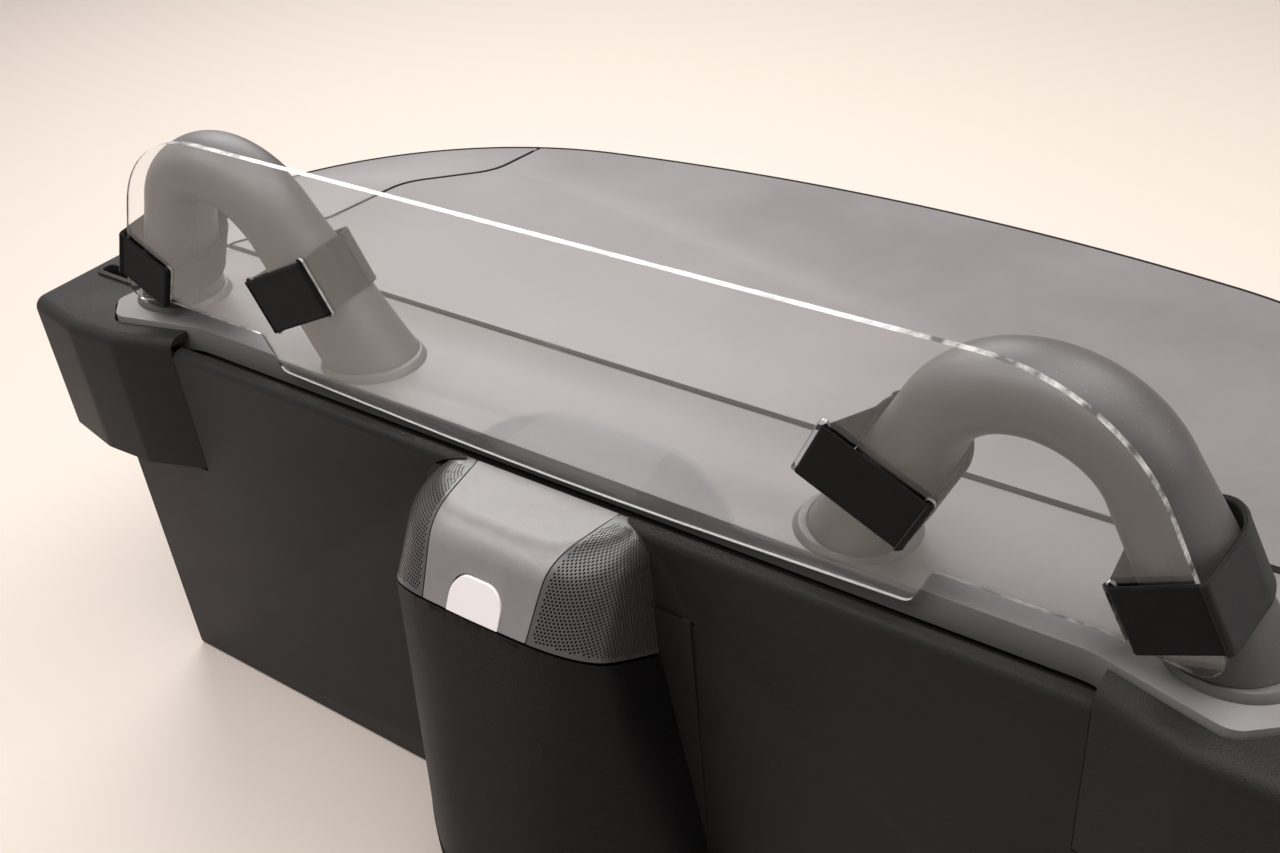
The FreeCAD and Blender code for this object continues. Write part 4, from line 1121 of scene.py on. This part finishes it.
def deck_edge():
    """The deck's sides and rear edge: straight sides, then three arcs, each through three points."""
    side, turn, rear = np.array([0.6395, 0.325]), np.array([0.5200, 0.492]), np.array([0.361, 0.566])
    front, height = 0.160, -0.0012
    tail = arc_through(side, turn, rear, 60)
    flip = np.array([-1.0, 1.0])
    back = arc_through(rear, np.array([0.0, 0.600]), rear * flip, 120)
    line = np.concatenate([[[side[0], front]], tail, back[1:], (tail * flip)[::-1][1:], [[-side[0], front]]])
    return joined(*line.T, height)


def flap_seam():
    """The line between deck and corner flap: straight runs, whose corners are rounded by arcs."""
    corners = np.array([[0.551, 0.156], [0.551, 0.162], [0.512, 0.262], [0.512, 0.375], [0.444, 0.455],
                        [0.444, 0.526]])
    radii, height = (0.008, 0.020, 0.060, 0.060), -0.0008
    line = [corners[:1]]
    for before, corner, after, radius in zip(corners, corners[1:], corners[2:], radii):
        back, ahead = (v / np.linalg.norm(v) for v in (before - corner, after - corner))
        half = math.acos(np.dot(back, ahead)) / 2
        reach = radius / math.tan(half)
        middle = corner + (back + ahead) / np.linalg.norm(back + ahead) * radius * (1 / math.sin(half) - 1)
        line.append(arc_through(corner + back * reach, middle, corner + ahead * reach, 9))
    line = np.concatenate(line + [corners[-1:]])
    return joined(*line.T, height)


class DEFLECTOR_OT_bulkhead(bpy.types.Operator):
    """Facing, side mouldings and the steel behind them"""
    bl_idname = "deflector.bulkhead"
    bl_label = "Bulkhead"

    def execute(self, context):
        facing = leathery("facing_grain", (0.018, 0.016, 0.016), 0.48)
        steel = painted_steel("frame_black_paint", (0.018, 0.018, 0.02))
        softened("bulkhead_facing", "bulkhead_trim", facing, width=0.001, segments=2)
        for side, _ in SIDES:
            softened("corner_moulding_" + side, "side_trim_" + side, facing, width=0.003)
        for node in ("hoop_tube_left", "hoop_tube_right", "deck_rail_left", "deck_rail_right",
                     "bulkhead_panel", "cross_member"):
            coated(NODES[node].data, steel)
        zinc = painted_steel("bolt_zinc", (0.32, 0.31, 0.28))
        flange_top, plate_back, plate_rise, rail_x, apart = 0.006, 0.040, 0.026, 0.3, 0.018
        spacing = frame["record"]["mounts"][0]["dims"]
        half_x, half_y = (spacing["spacing_%s_mm" % axis] / 2000 for axis in "xy")
        body = [(x, y, flange_top) for x in (-half_x, half_x) for y in (-half_y, half_y)]
        rail = [(s * (rail_x + k * apart), plate_back, plate_rise) for s in (-1, 1) for k in (-1, 1)]
        for name, places, upright in (("body_bolts", body, True), ("rail_bolts", rail, False)):
            points, faces = bolt_heads(np.array(places), upright)
            slotted(outward(add_piece(name, points, faces, zinc, smooth=False)))
        return {"FINISHED"}


def bolt_heads(places, upright):
    """Hexagon heads on their washers: rings of twelve points whose radius is a washer's or, turned by the
    hexagon, that of its corners and flats in turn."""
    turn = np.arange(12) * np.pi / 6
    hexagon = np.where(np.arange(12) % 2, math.cos(math.pi / 6), 1.0)
    rings = ((0.0102, 1.0, 0.0), (0.0102, 1.0, 0.0016), (0.0088, hexagon, 0.0016), (0.0088, hexagon, 0.0064),
             (0.0076, hexagon, 0.0074))
    head = np.stack([joined(r * shape * np.cos(turn), r * shape * np.sin(turn), z) for r, shape, z in rings])
    if not upright:
        head = head[..., [0, 2, 1]]
    points = places[:, None, None] + head
    one, step = tube_faces(len(rings), 12), len(rings) * 12
    return points, [np.asarray(face) + k * step for k in range(len(places)) for face in one]


class DEFLECTOR_OT_stage(bpy.types.Operator):
    """Camera, floor and soft light"""
    bl_idname = "deflector.stage"
    bl_label = "Stage"

    def execute(self, context):
        stage = context.scene.stage_sizes
        place_camera(stage)
        place_floor(stage)
        for name, place, size, power, look in SOFT_BOXES:
            lamp = bpy.data.lights.new(name, "AREA")
            lamp.shape = "RECTANGLE"
            lamp.size, lamp.size_y = size
            lamp.energy = power * stage.light
            piece = linked(name, lamp)
            piece.location = place
            piece.rotation_euler = Vector(np.subtract(look, place)).to_track_quat("-Z", "Y").to_euler()
        world = bpy.data.worlds.new("Soft studio")
        context.scene.world = world
        world.use_nodes = True
        tree = world.node_tree
        hall = mixed(tree, looked_at(tree), stage.air[:], stage.hall[:])
        tree.links.new(hall, tree.nodes["Background"].inputs["Color"])
        context.scene.view_settings.view_transform = "Standard"
        return {"FINISHED"}


# Name, place, size, watts and the point it faces
SOFT_BOXES = (
    ("overhead", (0.4, -0.2, 2.6), (3.0, 2.0), 84.0, (0.0, 0.0, 0.0)),
    ("rear_window", (-2.1, 2.1, 2.3), (2.4, 1.5), 85.0, (0.0, 0.1, 0.1)),
    ("right_window", (2.6, 0.6, 1.4), (1.4, 1.0), 14.0, (0.2, 0.0, 0.1)),
    ("left_strip", (-1.5, -1.0, 2.2), (2.2, 0.4), 32.0, (0.0, 0.0, 0.0)),
    ("right_strip", (0.9, 1.6, 2.3), (1.4, 0.4), 24.0, (0.1, 0.0, 0.0)),
)


def looked_at(tree):
    """One for what is seen straight on, mirrored or through glass, and nothing for bounced light."""
    ray = tree.nodes.new("ShaderNodeLightPath")
    seen = ray.outputs["Is Camera Ray"]
    for other in ("Is Glossy Ray", "Is Transmission Ray"):
        either = tree.nodes.new("ShaderNodeMath")
        either.operation = "MAXIMUM"
        tree.links.new(seen, either.inputs[0])
        tree.links.new(ray.outputs[other], either.inputs[1])
        seen = either.outputs[0]
    return seen


def place_camera(stage):
    """A camera that looks along yaw and pitch and is rolled about its view. Unturned it looks down."""
    data = bpy.data.cameras.new("photo_view")
    data.sensor_width = 36.0
    data.lens = stage.lens
    data.clip_start, data.clip_end = 0.02, 60.0
    eye = linked("photo_view", data)
    eye.matrix_world = Matrix.Translation(stage.eye)
    for turn, axis in ((stage.yaw, "Z"), (math.pi / 2 - stage.pitch, "X"), (-stage.roll, "Z")):
        eye.matrix_world = eye.matrix_world @ Matrix.Rotation(turn, 4, axis)
    bpy.context.scene.camera = eye


def place_floor(stage):
    """A plain pale floor that curves up far behind the object, as a swept line."""
    near, far, high, radius, half, columns = -12.0, 14.0, 14.0, 3, 16, 9
    bend = np.linspace(0, math.pi / 2, 25)
    line = [(far + radius * math.sin(t), radius - radius * math.cos(t)) for t in bend]
    line = np.array([(near, 0.0)] + line + [(far + radius, high)])
    across = np.linspace(-half, half, columns)
    points = joined(across, line[:, :1], line[:, 1:] + stage.floor)
    material, tree, shader = node_tree("pale_floor")
    floor_mix = mixed(tree, looked_at(tree), stage.floor_bounce[:], stage.floor_colour[:])
    tree.links.new(floor_mix, shader.inputs["Base Color"])
    plain(shader, Roughness=0.6)
    mesh = mesh_from("floor", points, grid_quads(len(line), columns, False), material)
    linked("floor", mesh)


class DEFLECTOR_PT_panel(bpy.types.Panel):
    """Sizes and pieces of the unit"""
    bl_idname = "DEFLECTOR_PT_panel"
    bl_label = "Deflector unit"
    bl_space_type = "VIEW_3D"
    bl_region_type = "UI"
    bl_category = "Deflector unit"

    def draw(self, context):
        for name, _ in PROPERTIES:
            group = getattr(context.scene, name)
            column = self.layout.box().column(align=True)
            for key in group.__annotations__:
                column.prop(group, key)
        for step in STEPS:
            self.layout.operator(step.bl_idname)


PROPERTIES = (("shelf_sizes", ShelfSizes), ("hoop_sizes", HoopSizes), ("strap_sizes", StrapSizes),
              ("box_sizes", BoxSizes), ("stage_sizes", StageSizes))
STEPS = (DEFLECTOR_OT_hoops, DEFLECTOR_OT_straps, DEFLECTOR_OT_panel, DEFLECTOR_OT_shelf,
         DEFLECTOR_OT_bulkhead, DEFLECTOR_OT_grilles, DEFLECTOR_OT_box, DEFLECTOR_OT_stage)


def register():
    for name, group in PROPERTIES:
        bpy.utils.register_class(group)
        setattr(bpy.types.Scene, name, PointerProperty(type=group))
    for item in STEPS + (DEFLECTOR_PT_panel,):
        bpy.utils.register_class(item)


def unregister():
    for item in reversed(STEPS + (DEFLECTOR_PT_panel,)):
        bpy.utils.unregister_class(item)
    for name, group in reversed(PROPERTIES):
        delattr(bpy.types.Scene, name)
        bpy.utils.unregister_class(group)


def main():
    """Dresses the frame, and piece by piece."""
    register()
    for step in STEPS:
        group, name = step.bl_idname.split(".")
        getattr(getattr(bpy.ops, group), name)()


if __name__ == "__main__":
    main()
